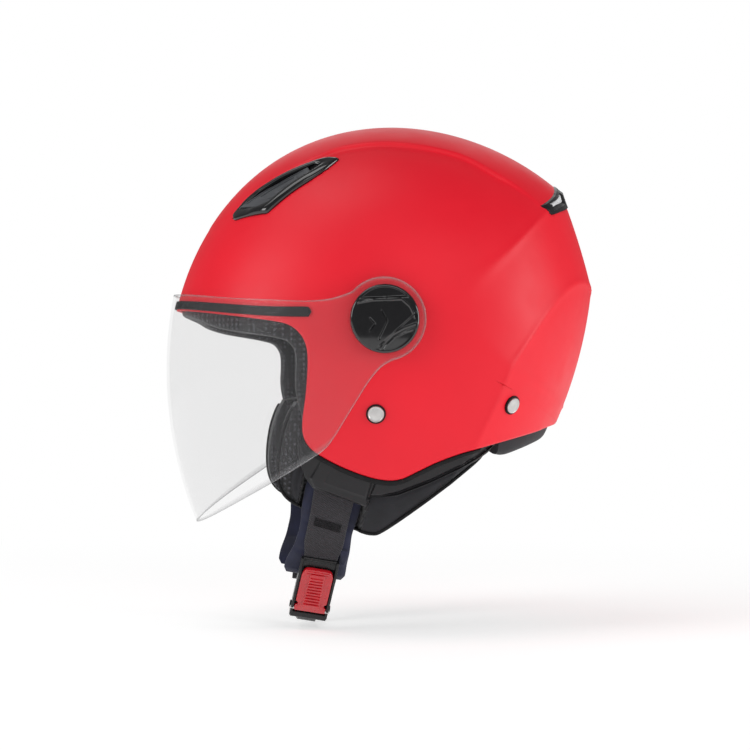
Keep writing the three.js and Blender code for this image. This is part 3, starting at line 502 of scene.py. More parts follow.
def webbing(name, colour):
    """Woven nylon tape: diagonal ribs crossed by fine picks, on the tape's own map in cm."""
    f = Finish(name, colour, 0.62, Sheen_Weight=0.15, Sheen_Roughness=0.4)
    rib = f.bands(2.6, (0, 0, math.radians(32)))
    pick = f.bands(2.6, (0, 0, math.radians(-32)))
    weave = f.math("MAXIMUM", rib, pick)
    f.tint(f.math("MULTIPLY", weave, f.noise(600.0, 2.0)), dull(colour, 0.45), dull(colour, 2.6), 0.15, 0.75)
    f.bump(weave, 0.0005, 0.85)
    f.bump(f.noise(1800.0, 2.0), 0.0001, 0.5)
    return f.material


def soft_rubber(name, colour):
    """Black rubber trim with a dusty bloom."""
    f = Finish(name, colour, 0.6, Specular_IOR_Level=0.25)
    f.tint(f.noise(120.0, 5.0), dull(colour, 0.7), dull(colour, 1.8))
    f.rough(f.noise(300.0, 3.0), 0.5, 0.7)
    f.bump(f.noise(900.0, 3.0), 0.00005, 0.5)
    return f.material


def bead_foam(name, colour):
    """Moulded bead foam: packed beads with dark lines between them."""
    f = Finish(name, colour, 0.85)
    beads = f.cells(240.0, 0.9)
    f.tint(beads, dull(colour, 1.25), dull(colour, 0.5), 0.25, 0.75)
    f.bump(f.math("MULTIPLY", beads, -1.0), 0.0004, 0.7)
    return f.material


def metal(name, colour, roughness):
    """Bare metal with small changes of tone and gloss."""
    f = Finish(name, colour, roughness, Metallic=1.0)
    f.rough(f.noise(700.0, 4.0, 0.7), roughness - 0.08, roughness + 0.12)
    f.tint(f.noise(260.0, 4.0), dull(colour, 0.88), dull(colour, 1.05))
    f.bump(f.noise(1500.0, 3.0), 0.00003, 0.4)
    return f.material


def clear_sheet():
    """Clear moulded sheet: nearly see-through, with a faint milky haze that thickens at the cut edge."""
    f = Finish("clear_polycarbonate", (0.3, 0.3, 0.31), 0.05, Specular_IOR_Level=0.4)
    edge = f.node("Attribute")
    edge.attribute_name = "cut_edge"
    haze = f.ramp(edge.outputs["Fac"], [(0.0, (0.065,) * 3), (1.0, (0.42,) * 3)])
    f.link(haze, f.shader.inputs["Alpha"])
    f.rough(f.noise(25.0, 2.0), 0.04, 0.09)
    return f.material


looks = {
    "red_shell": matte_paint(),
    "foam": bead_foam("black_bead_foam", (0.018, 0.018, 0.02)),
    "lining_fabric": mesh_cloth("black_spacer_mesh", (0.016, 0.016, 0.019)),
    "lining_plain": plain_cloth("black_lining_cloth", (0.009, 0.009, 0.012), sheen=0.12),
    "black_plastic": moulded_plastic("satin_black_plastic", (0.0055, 0.005, 0.0065), 0.36),
    "buckle_plastic": moulded_plastic("buckle_black_plastic", (0.006, 0.006, 0.007), 0.28, 900.0, 0.00003),
    "rubber": soft_rubber("soft_black_rubber", (0.004, 0.004, 0.0045)),
    "grey_plastic": moulded_plastic("satin_grey_plastic", (0.075, 0.078, 0.085), 0.38, 2400.0, 0.00003),
    "silver_plastic": gloss_plastic("silver_painted_plastic", (0.86, 0.87, 0.88), 0.3),
    "steel": metal("satin_steel", (0.62, 0.61, 0.6), 0.36),
    "webbing": webbing("black_nylon_webbing", (0.012, 0.010, 0.014)),
    "navy_pad": plain_cloth("navy_brushed_cloth", (0.008, 0.010, 0.032), 1100.0, 0.25),
    "gloss_black": gloss_plastic("polished_black_plastic", (0.004, 0.004, 0.005)),
    "clear_visor": clear_sheet(),
    "red_lever": gloss_plastic("red_lever_plastic", (0.50, 0.004, 0.012), 0.26),
}


def dress(name, look):
    """Gives a frame node one finish."""
    nodes[name].data.materials.clear()
    nodes[name].data.materials.append(looks[look])


for entry in frame["record"]["subparts"]:
    dress(entry["node"], entry["material_slot"])


def settle(piece, body, slot, *stands_for, look=None, fill=None):
    """Gives a finished piece its finish, its body and the frame nodes it stands for."""
    piece.data.materials.append(looks[look or slot])
    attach(piece, body)
    if stands_for:
        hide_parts(*stands_for)
    return piece


# ------------------------------------------------------------------ outlines in side view, y and z
SHELL_EDGE = curve([
    [-160, 11], [-131, 7.6], [-100, 3.4], [-72, -0.6], [-60, -3.4], [-53, -8.6], [-49, -15.5], [-47.6, -26],
    [-48.8, -46], [-51, -64], [-50.8, -74], [-47.8, -81.2], [-41, -87.4], [-24, -96.4], [-4, -103.4],
    [11, -104.3], [24, -98.6], [36, -92.8], [52, -87], [72, -82], [90, -78], [108, -74.2], [125, -70.6],
    [160, -69]], 900)
VISOR_EDGE_TOP = curve([[-160, 20.4], [-133, 18.7], [-100, 14.6], [-70, 12.5], [-50, 11.6], [-36, 12.6],
                        [-27, 15], [-20.6, 17.5]], 200)
VISOR_EDGE_LOW = curve([[5.6, -26.4], [-2, -31], [-10, -40.4], [-22, -59.6], [-33, -78], [-38, -84.2],
                        [-44, -89], [-66.7, -104], [-92, -120], [-119, -137.8], [-160, -166]], 300)
EAR_RADIUS = 27
ear_turn = np.radians(np.linspace(136, -78, 120))
EAR = EAR_RADIUS * np.stack([np.cos(ear_turn), np.sin(ear_turn)], 1)
VISOR_EDGE = np.vstack([VISOR_EDGE_TOP, EAR, VISOR_EDGE_LOW])

# the left front vent's own plane: a point on it, its long and its cross direction, and its outward normal
VENT_O = np.array([66.108, -60.0, 93.0])
VENT_U = np.array([0.1318, 0.8418, 0.5234])
VENT_V = np.array([-0.8150, -0.2086, 0.5407])
VENT_W = np.array([0.5643, -0.4978, 0.6586])
VENT_OUTLINE = np.vstack([
    curve([[-44, 10.4], [-28, 12.9], [-3, 11.8], [23, 8.6], [32.6, 6.6]], 40), [[38, 0]],
    curve([[28, -6.3], [16, -10], [0, -12.4], [-17, -15.2]], 30), [[-22, -16], [-45, 4.6]]])
VENT_POCKET = np.array([[-37, 8.4], [-20, 9.8], [-2, 8.8], [22, 5.4], [25, 1.4], [12, -2.6], [-3, -5],
                        [-17, -7.6], [-26, -3.6]], float)
REAR_TOP = curve([[78, 77], [60, 84.2], [37, 91.8], [18, 95], [0, 96]], 60)
REAR_LOW = curve([[0, 81], [20, 80.2], [42, 77.6], [60, 74.4], [74, 71.4]], 60)
REAR_OUTLINE = np.vstack([REAR_TOP, (REAR_TOP * [-1, 1])[::-1][1:], (REAR_LOW * [-1, 1])[::-1], REAR_LOW[1:]])
VENT_WELL = 8.2
REAR_WELL = 7.0
GRILLE_WINDOW = np.array([[41, 89], [70.5, 79], [68.6, 76.4], [61, 78.6], [40, 82.4]], float)


def vent_wells(p):
    """Extra depth of the shell under the air vents: a smooth-walled well inside each vent's outline."""
    q = p - VENT_O
    flat = np.stack([q @ VENT_U, q @ VENT_V], -1)
    near = (np.abs(flat).max(-1) < 60) & (q @ VENT_W > -30)
    well = np.zeros(p.shape[:-1])
    if near.any():
        well[near] = VENT_WELL * step(outline_depth(flat[near], VENT_OUTLINE), 0.6, 2.6)
    behind = (p[..., 1] > 60) & (p[..., 2] > 60)
    if behind.any():
        well[behind] = REAR_WELL * step(outline_depth(p[behind][:, [0, 2]], REAR_OUTLINE), 0.6, 2.4)
    return well


# ------------------------------------------------------------------ sheets that close at an outline
LIP_BULGE = 0.42
LIP_FADE = 6


def radial_sheet(outline, limit, height, ring, count, rows, wall, lip_rows):
    """A half shell as a grid: rays leave the pivot axis for count points spread evenly round the outline,
    r grows as the sine of the step towards the form's limit, and x comes from height(y, z, inset). The
    outer face, a rounded lip at the outline and the inner face follow each other along every ray. Returns
    points and quads."""
    edge = even(outline, 4000)
    edge_angle = np.unwrap(np.arctan2(edge[:, 1], edge[:, 0]))
    inside = np.hypot(edge[:, 0], edge[:, 1]) <= limit(edge_angle)
    edge, edge_angle = edge[inside], edge_angle[inside]
    a0, a1 = edge_angle[0], edge_angle[-1]
    turn = np.linspace(a1, a0 + math.copysign(2 * math.pi, a1 - a0), 4000)
    rest = limit(turn)[:, None] * np.stack([np.cos(turn), np.sin(turn)], -1)
    loop = np.vstack([edge, rest[1:-1], edge[:1]])
    run = run_of(loop)
    split = run[len(edge) - 1]
    n_rim = int(round(count * split / run[-1]))
    at = np.concatenate([np.linspace(0, split, n_rim), np.linspace(split, run[-1], count - n_rim + 2)[1:-1]])
    y, z = (np.interp(at, run, loop[:, k]) for k in range(2))
    on_rim = np.arange(count) < n_rim
    angle = np.arctan2(z, y)
    far = limit(angle)
    reach = np.where(on_rim, np.minimum(np.hypot(y, z), far), far)
    top, start = np.arcsin(np.clip(reach / far, 0, 1)), np.arcsin(ring / far)

    def face(r, inset):
        y, z = r * np.cos(angle), r * np.sin(angle)
        return np.stack([height(y, z, inset), y, z], -1)

    t = np.linspace(0, 1, rows)[:, None]
    outer = face(np.sin(start + (top - start) * t) * far, 0.0)
    outer[-1, ~on_rim, 0] = 0
    lips = []
    for k in range(1, lip_rows + 1):
        a = math.pi * k / (lip_rows + 1)
        grow = LIP_BULGE * wall * math.sin(a) * np.minimum(1, (far - reach) / LIP_FADE)
        lips.append(face(np.where(on_rim, reach + grow, far), wall * (1 - math.cos(a)) / 2))
    inner_rows = max(10, rows // 5)
    t = np.linspace(1, 0, inner_rows)[:, None]
    shrink = np.where(on_rim, 1.0, (far - wall) / far)
    inner = face(np.sin(start + (top - start) * t) * far * (1 + (shrink - 1) * t), wall)
    inner[0, ~on_rim, 0] = 0
    quads = grid_quads(rows + lip_rows + inner_rows, count)
    row, col = quads[:, 0] // count, quads[:, 0] % count
    in_lip = (row >= rows - 1) & (row < rows + lip_rows)
    keep = ~in_lip | (on_rim[col] & on_rim[(col + 1) % count])
    return np.concatenate([outer, lips, inner]).reshape(-1, 3), quads[keep]


def both_halves(name, points, quads, count, crisp):
    """A left half grid of count rays joined to its mirror image, with the pole closed by caps."""
    last = len(points)
    poles = [[end[:, 0].max(), *end[:, 1:].mean(0)] for end in (points[:count], points[-count:])]
    points = np.vstack([points, poles])
    j = np.arange(count)
    j2 = (j + 1) % count
    tris = np.concatenate([
        np.stack([j, j2, np.full(count, last)], -1),
        np.stack([j + last - count, j2 + last - count, np.full(count, last + 1)], -1)])
    n = len(points)
    whole = np.vstack([points, points * [-1, 1, 1]])
    return mesh_piece(name, whole, np.vstack([quads, quads + n]), np.vstack([tris, tris + n]), None, crisp)


# ------------------------------------------------------------------ outer shell
def shell_limit(angle):
    """Distance from the pivot axis to the shell's middle line, by halving on depth at x = 0."""
    c, s = np.cos(angle), np.sin(angle)
    return solve(lambda r: np.stack([0 * r, r * c, r * s], -1), 0.0, np.zeros(np.shape(angle)), 260.0)


def shell_height(y, z, inset):
    """x of the shell's face at y, z: the skin, sunk by the vents' wells."""
    x = skin_x(y, z, inset)
    well = vent_wells(np.stack([x, y, z], -1))
    deep = well > 0
    if deep.any():
        x = x.copy()
        x[deep] = skin_x(y[deep], z[deep], inset + well[deep])
    return x


rays, rows = ((372, 104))
shell_piece = both_halves("outer_shell_skin", *radial_sheet(
    SHELL_EDGE, shell_limit, shell_height, 12.0, rays, rows, WALL, 4), rays, 40.0)
settle(shell_piece, "shell", "red_shell", "outer_shell")


# ------------------------------------------------------------------ visor
VISOR_HALF_WIDTH = 131.0
VISOR_EAR = 125.5
VISOR_RAYS = 380
VISOR_LOOP = even(np.vstack([VISOR_EDGE[5:-5], [[-250, -200], [-250, 22]]]), 420, closed=True)
CUT_EDGE = 0.7


def visor_rho(angle, inset=0.0):
    """Distance from the pivot axis to the visor's arc in side view."""
    y, z, radius = VISOR_ARC
    return circle_reach(y, z, radius - inset, np.cos(angle), np.sin(angle), (0.0, 0.0))


def visor_height(y, z, inset):
    """x of the visor's form: an ellipse in each plane through the pivot axis, cut flat at the ears."""
    rho = visor_rho(np.arctan2(z, y), inset)
    x = (VISOR_HALF_WIDTH - inset) * np.sqrt(np.clip(1 - (np.hypot(y, z) / rho) ** 2, 0, 1))
    return soft_min(x, np.full_like(x, VISOR_EAR - inset), 1.0)


def mark_edge(piece, width):
    """Marks the cut edge of the visor: 1 at its outline, falling to 0 within the width, as attribute
    cut_edge."""
    mesh = piece.data
    attribute = mesh.attributes.new("cut_edge", "FLOAT", "POINT")
    co = np.zeros(len(mesh.vertices) * 3, np.float32)
    mesh.vertices.foreach_get("co", co)
    p = co.reshape(-1, 3) / MM
    share = 1 - step(np.abs(outline_depth(p[:, 1:], VISOR_LOOP)), 0.1, width)
    attribute.data.foreach_set("value", share.astype(np.float32))


visor_piece = both_halves("visor_sheet", *radial_sheet(
    VISOR_EDGE, visor_rho, visor_height, 9.0, VISOR_RAYS, 56, 2.0, 3), VISOR_RAYS, 50.0)
mark_edge(visor_piece, CUT_EDGE)
settle(visor_piece, "visor", "clear_visor", "visor")


# ------------------------------------------------------------------ strips that follow the skin
def on_skin(line, inset, count):
    """A side-view line laid on the form at a depth and stopped at the middle plane, at equal steps of
    length."""
    dense = even(line, 1600)
    x = skin_x(dense[:, 0], dense[:, 1], inset)
    stop = np.argmax(x < 0.05) if (x < 0.05).any() else len(x)
    p = np.column_stack([x, dense])[:max(stop, 2)]
    if stop < len(x):
        p = np.vstack([p, [0.0, *p[-1, 1:]]])
    return even(p, count)


def skin_strip(name, line_a, line_b, inset, half_depth, count, squareness=0.5, around=24, whole=False,
               swell=None, sign=1.0, crisp=40.0):
    """A strip between two side-view lines: each section is a rounded box, half the gap between the lines wide
    and half_depth deep along the skin's normal, swelling by swell(s, a) where s runs along and a across."""
    a, b = on_skin(line_a, inset, count), on_skin(line_b, inset, count)
    if whole:
        a = np.vstack([a, (a * [-1, 1, 1])[::-1][1:]])
        b = np.vstack([b, (b * [-1, 1, 1])[::-1][1:]])
    middle, half = (a + b) / 2, (a - b) / 2
    out = skin_normal(middle)[:, None]
    c, s = oval(around, squareness)
    run = np.linspace(0, 1, len(a))[:, None]
    thick = half_depth * np.ones((len(a), around))
    if swell is not None:
        thick = thick * swell(run, c[None, :])
    if not whole:
        # the two ends are blunt
        thick = thick * np.minimum(1, np.minimum(run, 1 - run) * len(a) / 2.5 + 0.35)
    flat = middle[:, None] + half[:, None] * c[None, :, None]
    # a wide strip is laid back on the form by the depth that each point has lost
    lost = np.clip(depth_of(flat) - inset, -12, 12)
    rings = flat + out * (s[None, :] * thick)[..., None] + out * lost[..., None]
    return rings_piece(name, rings, sign, crisp)


brow_top = curve([[-46.9, 5.4], [-48.2, 7.4], [-50.4, 8.2], [-73, 8.6], [-99, 10.6], [-132, 14.2],
                  [-160, 17.6]], 300)
brow_low = curve([[-46.9, 4.4], [-48.2, 2.4], [-50.4, 1.6], [-73, 2.3], [-99, 4.6], [-132, 8.6],
                  [-160, 12]], 300)
brow = skin_strip("brow_seal_strip", brow_top, brow_low, -0.75, 0.85, 130, 0.35, 20, whole=True)
settle(brow, "shell", "rubber", "brow_seal")

roll_out = curve([[-50.5, -66], [-54.6, -52], [-56, -42], [-55.6, -30], [-56.4, -21], [-61, -14.6],
                  [-70, -11.8], [-83, -9.6], [-96, -7.6], [-108, -4.5], [-118, 0.5], [-135, 5], [-160, 6]],
                  400)
roll_in = curve([[-42, -66], [-42.5, -50], [-42, -38], [-41.5, -24], [-43.5, -12], [-50, -3], [-66, 3.4],
                 [-82, 6.0], [-98, 8.0], [-110, 9.5], [-124, 11.2], [-140, 13.2], [-160, 15]], 400)
roll = skin_strip("opening_roll_cloth", roll_out, roll_in, 10.4, 6.2, 150, 0.62, 32, whole=True,
                  swell=lambda s, a: 1 + 0.02 * np.sin(s * 47) * (1 - a ** 2))
settle(roll, "shell", "lining_fabric", "opening_roll", fill=0.7)

neck_low = curve([[76, -88.6], [83, -89.2], [97, -85.4], [124.5, -77.6], [145, -75.6], [160, -74.6]], 300)
neck_top = curve([[76, -73], [83, -72], [97, -69], [124.5, -64], [145, -62], [160, -61.4]], 300)
neck = skin_strip("neck_roll_cloth", neck_low, neck_top, 10.5, 6.0, 90, 0.7, 28, whole=True,
                  swell=lambda s, a: 1 + 0.03 * np.sin(s * 21) * (1 - a ** 2))
settle(neck, "shell", "lining_fabric", "neck_roll", look="lining_plain", fill=0.7)

seal_top = curve([[-51.2, -77], [-48.6, -82.6], [-41.4, -88.6], [-24.4, -97.6], [-4.2, -104.5],
                  [11, -105.4], [24.2, -99.8], [36.2, -94.0], [52.2, -88.2], [66, -84.6]], 300)
seal_low = curve([[-54, -80], [-50.6, -88.6], [-41.4, -92.2], [-24.4, -101], [-4, -108], [11, -109],
                  [25, -103], [37, -97], [53, -90.8], [66, -86.4]], 300)
for side_name, sign in SIDES:
    seal = skin_strip("edge_seal_" + side_name + "_lip", seal_top, seal_low, 1.9, 1.7, 120, 0.5, 18,
                      sign=sign)
    settle(seal, "shell", "rubber", "edge_seal_" + side_name)


# ------------------------------------------------------------------ plates and pads between two faces
def two_faced(name, line_a, line_b, outer, inner, count, across, squareness, sign, crisp=40.0):
    """A closed piece over the side-view area between two lines. Rings run across it: the outward face lies at
    x = outer(y, z, s, t), the inward face at inner, and the edges between them are rounded boxes' corners."""
    a, b = even(line_a, count)[:, None], even(line_b, count)[:, None]
    c, d = oval(across, squareness)
    s, t = np.broadcast_arrays(np.linspace(0, 1, count)[:, None], (1 - c) / 2)
    y, z = np.moveaxis(a + (b - a) * t[..., None], -1, 0)
    xo, xi = outer(y, z, s, t), inner(y, z, s, t)
    x = (xo + xi) / 2 + (xo - xi) / 2 * d
    return rings_piece(name, np.stack([x, y, z], -1), sign, crisp)


def bump_at(v, centre, width):
    """A smooth hump of height 1 and the given half width."""
    return np.exp(-((v - centre) / width) ** 2)


SKIRT_TOP = np.array([[-54.0, -80], [-46, -79.6], [-38, -84.6], [-24, -91.6], [-4, -98.6], [11, -99.4],
                      [25, -93.6], [45, -84], [70, -76.4], [77, -80.6]], float)
SKIRT_LOW = np.array([[-54.6, -84], [-53.6, -92], [-49.6, -104], [-44, -111.6], [-28, -117.4], [-8.6, -124.2],
                      [-7.6, -117.9], [11, -116.8], [31, -109], [52.6, -98.8], [63.5, -93.8], [72, -88.2],
                      [77.4, -82]], float)
FOLD = np.array([[-47.4, -90.6], [-41.8, -100.4]], float)
BAR_LINE = np.array([[-41.4, -101.4], [-36.4, -106.6], [-9.6, -116.8]], float)
GROOVE = np.array([[-9, -117.0], [1, -116.6], [12, -114.6], [33, -106.4], [54, -96.4], [66, -89.4],
                   [74, -83.6]], float)
BAR_AREA = np.array([[-42.5, -98.2], [-36.2, -104.6], [-8.8, -115.2], [-8.0, -124.4], [-43.6, -110.8],
                     [-46.2, -104.8]])
SKIRT_OUTSIDE = 4.0
SKIRT_INSIDE = 7.4
BAR_RISE = 2.6


def near_line(y, z, line, width):
    """1 on a side-view line, falling to 0 at the given distance from it."""
    return 1 - step(line_distance(np.stack([y, z], -1), line[:-1], line[1:]), 0, width)


def skirt_face(y, z, s, t):
    """The moulded skirt: below the skin, raised in the bar over the strap, with a proud fold line and a
    groove along the pad's seam."""
    bar = step(outline_depth(np.stack([y, z], -1), BAR_AREA), -0.6, 0.9) * BAR_RISE
    line = near_line(y, z, FOLD, 2.2) * 2.3 + near_line(y, z, BAR_LINE, 1.8) * 1.3
    groove = near_line(y, z, GROOVE, 1.6) * 1.7
    return skin_x(y, z, SKIRT_OUTSIDE - bar - line + groove)


for side_name, sign in SIDES:
    skirt = two_faced("side_skirt_" + side_name + "_shell", even(SKIRT_TOP, 170), even(SKIRT_LOW, 170),
                      skirt_face, lambda y, z, s, t: skin_x(y, z, SKIRT_INSIDE), 260, 96, 0.2, sign, 25.0)
    settle(skirt, "shell", "black_plastic", "side_skirt_" + side_name)

CHEEK_TOP = curve([[-55.6, -54.5], [-46, -52.6], [-20, -50], [10, -49], [40, -49.6], [62, -58], [70.5, -74],
                   [71, -84]], 200)
CHEEK_LOW = curve([[-55.9, -55.5], [-60, -62], [-64.2, -74], [-66.6, -88], [-67, -101], [-65, -111.6],
                   [-60, -119], [-51, -124.6], [-38, -130.4], [-24, -136], [-12, -141], [-3.4, -143.2],
                   [4, -140.8], [27, -123.9], [53, -103.6], [66, -93], [70.4, -87]], 300)
SWING = (-27.5, -104.0)
LEAN = math.radians(9.5)
DOWN = np.array([0.0, -math.sin(LEAN), -math.cos(LEAN)])
WIDE = np.array([0.0, math.cos(LEAN), -math.sin(LEAN)])
STRAP_O = np.array([0.0, *SWING])
# the hanging strap's middle line in its own plane: across the helmet, and down along the lean
HANG = np.array([[88.6, -5], [85.4, 4], [80.8, 13.5], [74.4, 25.5], [66.6, 38.6], [56.5, 53.1]])


STRAP_ROOM = 12.5
FREE_ROOM = 60


def strap_gap(y, z, x):
    """The face of the pad drawn back behind the hanging strap: the lesser of x and a line held inside the
    strap, over the strap pad's width."""
    y, z = y - SWING[0], z - SWING[1]
    w = y * WIDE[1] + z * WIDE[2]
    v = y * DOWN[1] + z * DOWN[2]
    free = np.maximum(step(np.abs(w), 20.5, 27.5), 1 - step(v, -8, 0))
    return np.minimum(x, np.interp(v, HANG[:, 1], HANG[:, 0]) - STRAP_ROOM + FREE_ROOM * free)


MESH_EDGE = np.array([[-46.5, -70], [-52.5, -84], [-56.6, -98], [-58.6, -108], [-57, -118], [-50, -125]],
                      float)
PANEL_EDGE = np.array([[-46, -83], [-49.4, -92], [-53.4, -104], [-54.5, -112]], float)


CHEEK_DEPTH = 7.8
CHEEK_CROWN = 1.6
CHEEK_WALL = 67.0
CHEEK_LEAST = 5.0
PIPING_DEPTH = 9.6
PIPING_RADIUS = 1.1


def cheek_outer(y, z, s, t):
    """The cheek pad's outward face: under the skin, softly crowned, with sewn channels."""
    flat = CHEEK_CROWN * (2 * t - 1) ** 4
    seam = near_line(y, z, MESH_EDGE, 1.8) * 1.2 + near_line(y, z, PANEL_EDGE, 1.4) * 0.8
    lobe = near_line(y, z, GROOVE + [0, -2.0], 2.2) * 0.8
    return strap_gap(y, z, skin_x(y, z, CHEEK_DEPTH + flat + seam + lobe))


def cheek_inner(y, z, s, t):
    """The inward face: an oval wall round the head, crowned towards the cheek."""
    x = CHEEK_WALL * np.sqrt(np.clip(1 - ((y - 14) / 138.0) ** 2, 0.05, 1))
    x = x + 3.0 * (2 * t - 1) ** 2 + 0.8 * np.sin(s * 40) * t * (1 - t)
    return np.minimum(x, cheek_outer(y, z, s, t) - CHEEK_LEAST)


def plain_behind(mesh, sign):
    """Gives the outward face behind the front mesh panel the second finish, a smooth cloth."""
    centre = np.zeros(len(mesh.polygons) * 3, np.float32)
    mesh.polygons.foreach_get("center", centre)
    x, y, z = centre.reshape(-1, 3).T / MM
    behind = y > np.interp(z, MESH_EDGE[::-1, 1], MESH_EDGE[::-1, 0])
    plain = behind & (x * sign > skin_x(y, z, 14.0)) & (z < -58)
    mesh.polygons.foreach_set("material_index", plain.astype(np.int32))


def piping_piece(name, sign):
    """Piping sewn round the pad's lower edge: a round bead along it."""
    y, z = CHEEK_LOW[4:].T
    path = even(np.column_stack([strap_gap(y, z, skin_x(y, z, PIPING_DEPTH)), y, z]), 170)
    tangent = unit(np.gradient(path, axis=0))
    n1 = unit(np.cross(tangent, [1.0, 0, 0]))
    n2 = np.cross(tangent, n1)
    a = turns(10)[None, :, None]
    rings = path[:, None] + PIPING_RADIUS * (n1[:, None] * np.cos(a) + n2[:, None] * np.sin(a))
    return rings_piece(name, rings, sign)


for side_name, sign in SIDES:
    pad = two_faced("cheek_pad_" + side_name + "_cloth", CHEEK_TOP, CHEEK_LOW, cheek_outer, cheek_inner,
                    230, 120, 0.42, sign)
    settle(pad, "shell", "lining_fabric", "cheek_pad_" + side_name, fill=0.75)
    pad.data.materials.append(looks["lining_plain"])
    plain_behind(pad.data, sign)
    settle(piping_piece("cheek_piping_" + side_name, sign), "shell", "lining_fabric", look="rubber")


# ------------------------------------------------------------------ crown lining
def lining_piece():
    """The fabric dome: an upper half ellipsoid on an oval wall, seen from inside as sewn cushions, with
    its lower edge following the opening. Its wall is 6 mm; channels between cushions are sunk by smooth
    humps."""
    turn = turns(180)
    hy, hx = np.cos(turn), np.sin(turn)
    # the wall's lower edge, as a height over the dome's middle: above it the dome's own angle stops short
    low = np.interp(14 + 99 * hy, [-90, -60, -50, -43, -38], [12.0, 6.0, -3.0, -20.0, -46.0])
    floor = (low + 20.0)[None, :]
    rows, dome = 60, 0.8
    t = np.linspace(0, 1, rows)[:, None]
    low_angle = np.where(floor > 0, np.arcsin(np.clip(floor / 111.0, 0, 1)), 0.0)
    up = math.pi / 2 + (low_angle - math.pi / 2) * np.minimum(t / dome, 1)
    wall = np.minimum(floor, 0) * np.clip((t - dome) / (1 - dome), 0, 1)

    def face(a, b, c, sink):
        x = a * np.cos(up) * hx
        y = 14 + b * np.cos(up) * hy
        z = -20 + c * np.sin(up) + wall
        n = np.stack([x / a ** 2, (y - 14) / b ** 2, (z - wall + 20) / c ** 2], -1)
        n /= np.linalg.norm(n, axis=-1, keepdims=True) + 1e-9
        p = np.stack([x, y, z], -1)
        return p + n * sink(p)[..., None]

    def seams(p):
        x, y = p[..., 0], p[..., 1]
        lines = bump_at(np.abs(x), 24, 3.2) + 0.9 * bump_at(np.abs(y - 14), 34, 3.2) * (np.abs(x) < 24)
        lines = lines + 0.8 * bump_at(p[..., 2], 34, 3.0)
        return 3.2 * np.clip(lines, 0, 1)

    inner = face(79.4, 100.4, 111.4, seams)
    outer = face(85.4, 106.4, 117.4, lambda p: np.zeros(p.shape[:-1]))
    points = np.concatenate([inner, outer[::-1]]).reshape(-1, 3)
    return mesh_piece("crown_lining_cloth", points, grid_quads(2 * rows, len(turn)))


settle(lining_piece(), "shell", "lining_fabric", "crown_lining", fill=0.6)


# ------------------------------------------------------------------ front air intakes
def vent_plane(u, v, w=0.0):
    """The point at u, v in the vent's plane and w out of it."""
    u, v, w = spread(u, v, w)
    return VENT_O + u[..., None] * VENT_U + v[..., None] * VENT_V + w[..., None] * VENT_W


def vent_point(u, v, rise):
    """The point at u, v in the vent's plane that stands a given rise above the skin."""
    base = vent_plane(u, v)
    w = solve(lambda w: base + w[..., None] * VENT_W, -rise, np.full(len(base), -30.0), 30.0)
    return base + w[..., None] * VENT_W


# the vent frame's section: share of the way from the pocket to the outline, rise, and more at the lower side
VENT_RIM = ((1.0, -5.0, 0), (1.0, 0.4, 0), (0.985, 1.2, 0), (0.94, 1.7, 0.3), (0.8, 1.95, 0.9),
            (0.55, 2.0, 1.3), (0.3, 1.85, 1.0), (0.12, 1.5, 0.6), (0.03, 0.9, 0.3), (0.0, 0.1, 0))


def vent_frame_piece(name, sign):
    """A ring between the vent's outline and its pocket: up the outside wall, over a rounded rim and down
    into the pocket, then a floor with a slot. Each ray from the pocket's middle line meets the outline's
    nearest point."""
    pocket = even(VENT_POCKET, 150, closed=True)
    outline = even(VENT_OUTLINE, 900, closed=True)
    spine_a, spine_b = np.array([-24.0, 3.0]), np.array([16.0, 1.2])
    k = np.clip((pocket[:, 0] - spine_a[0]) / (spine_b[0] - spine_a[0]), 0, 1)[:, None]
    middle = spine_a + (spine_b - spine_a) * k
    ray = unit(pocket - middle)
    rel = outline[None] - middle[:, None]
    behind = (rel * ray[:, None]).sum(-1) < 0
    off = np.abs(rel[..., 0] * ray[:, None, 1] - rel[..., 1] * ray[:, None, 0]) + 100.0 * behind
    outer = outline[np.argmin(off, axis=1)]
    outer = (outer + np.roll(outer, 1, 0) + np.roll(outer, -1, 0)) / 3
    lower = step(-pocket[:, 1], -1.0, 3.0)
    rings = []
    for share, rise, more in VENT_RIM:
        q = pocket + (outer - pocket) * share
        rings.append(vent_point(q[:, 0], q[:, 1], rise + more * lower))
    slot = pocket * [0.55, 0.4] + [-3.0, 1.0]
    for loop, w in ((pocket, -4.55), (slot, -4.6), (slot, -6.6), (slot, -7.0)):
        rings.append(vent_plane(loop[:, 0], loop[:, 1], w))
    return rings_piece(name, rings, sign, 38.0)


# the blade's section: share of its outline's size, and height in the vent's plane
BLADE_STEPS = ((1.0, -4.2), (1.0, -2.6), (0.985, -2.3), (0.93, -2.15), (0.86, -2.2), (0.84, -2.7),
               (0.6, -2.75), (0.58, -2.3), (0.5, -2.2), (0.48, -2.7), (0.25, -2.7), (0.22, -2.4),
               (0.1, -2.3))
BLADE_MIDDLE = np.array([-6.0, 2.6])
BLADE_PLAY = 0.9
BLADE_END = 16.6


def slider_piece(name, sign):
    """The sliding blade: its outline follows the pocket with some play and is cut short at the upper end;
    its face steps up in fins, as rings that shrink towards the middle."""
    away = even(VENT_POCKET, 120, closed=True) - BLADE_MIDDLE
    r = np.linalg.norm(away, axis=1, keepdims=True)
    loop = BLADE_MIDDLE + away * np.clip((r - BLADE_PLAY) / r, 0.05, 1)
    loop[:, 0] = np.minimum(loop[:, 0], BLADE_END)
    rings = []
    for share, w in BLADE_STEPS:
        q = BLADE_MIDDLE + (loop - BLADE_MIDDLE) * share
        rings.append(vent_plane(q[:, 0], q[:, 1], w))
    return rings_piece(name, rings, sign, 30.0)


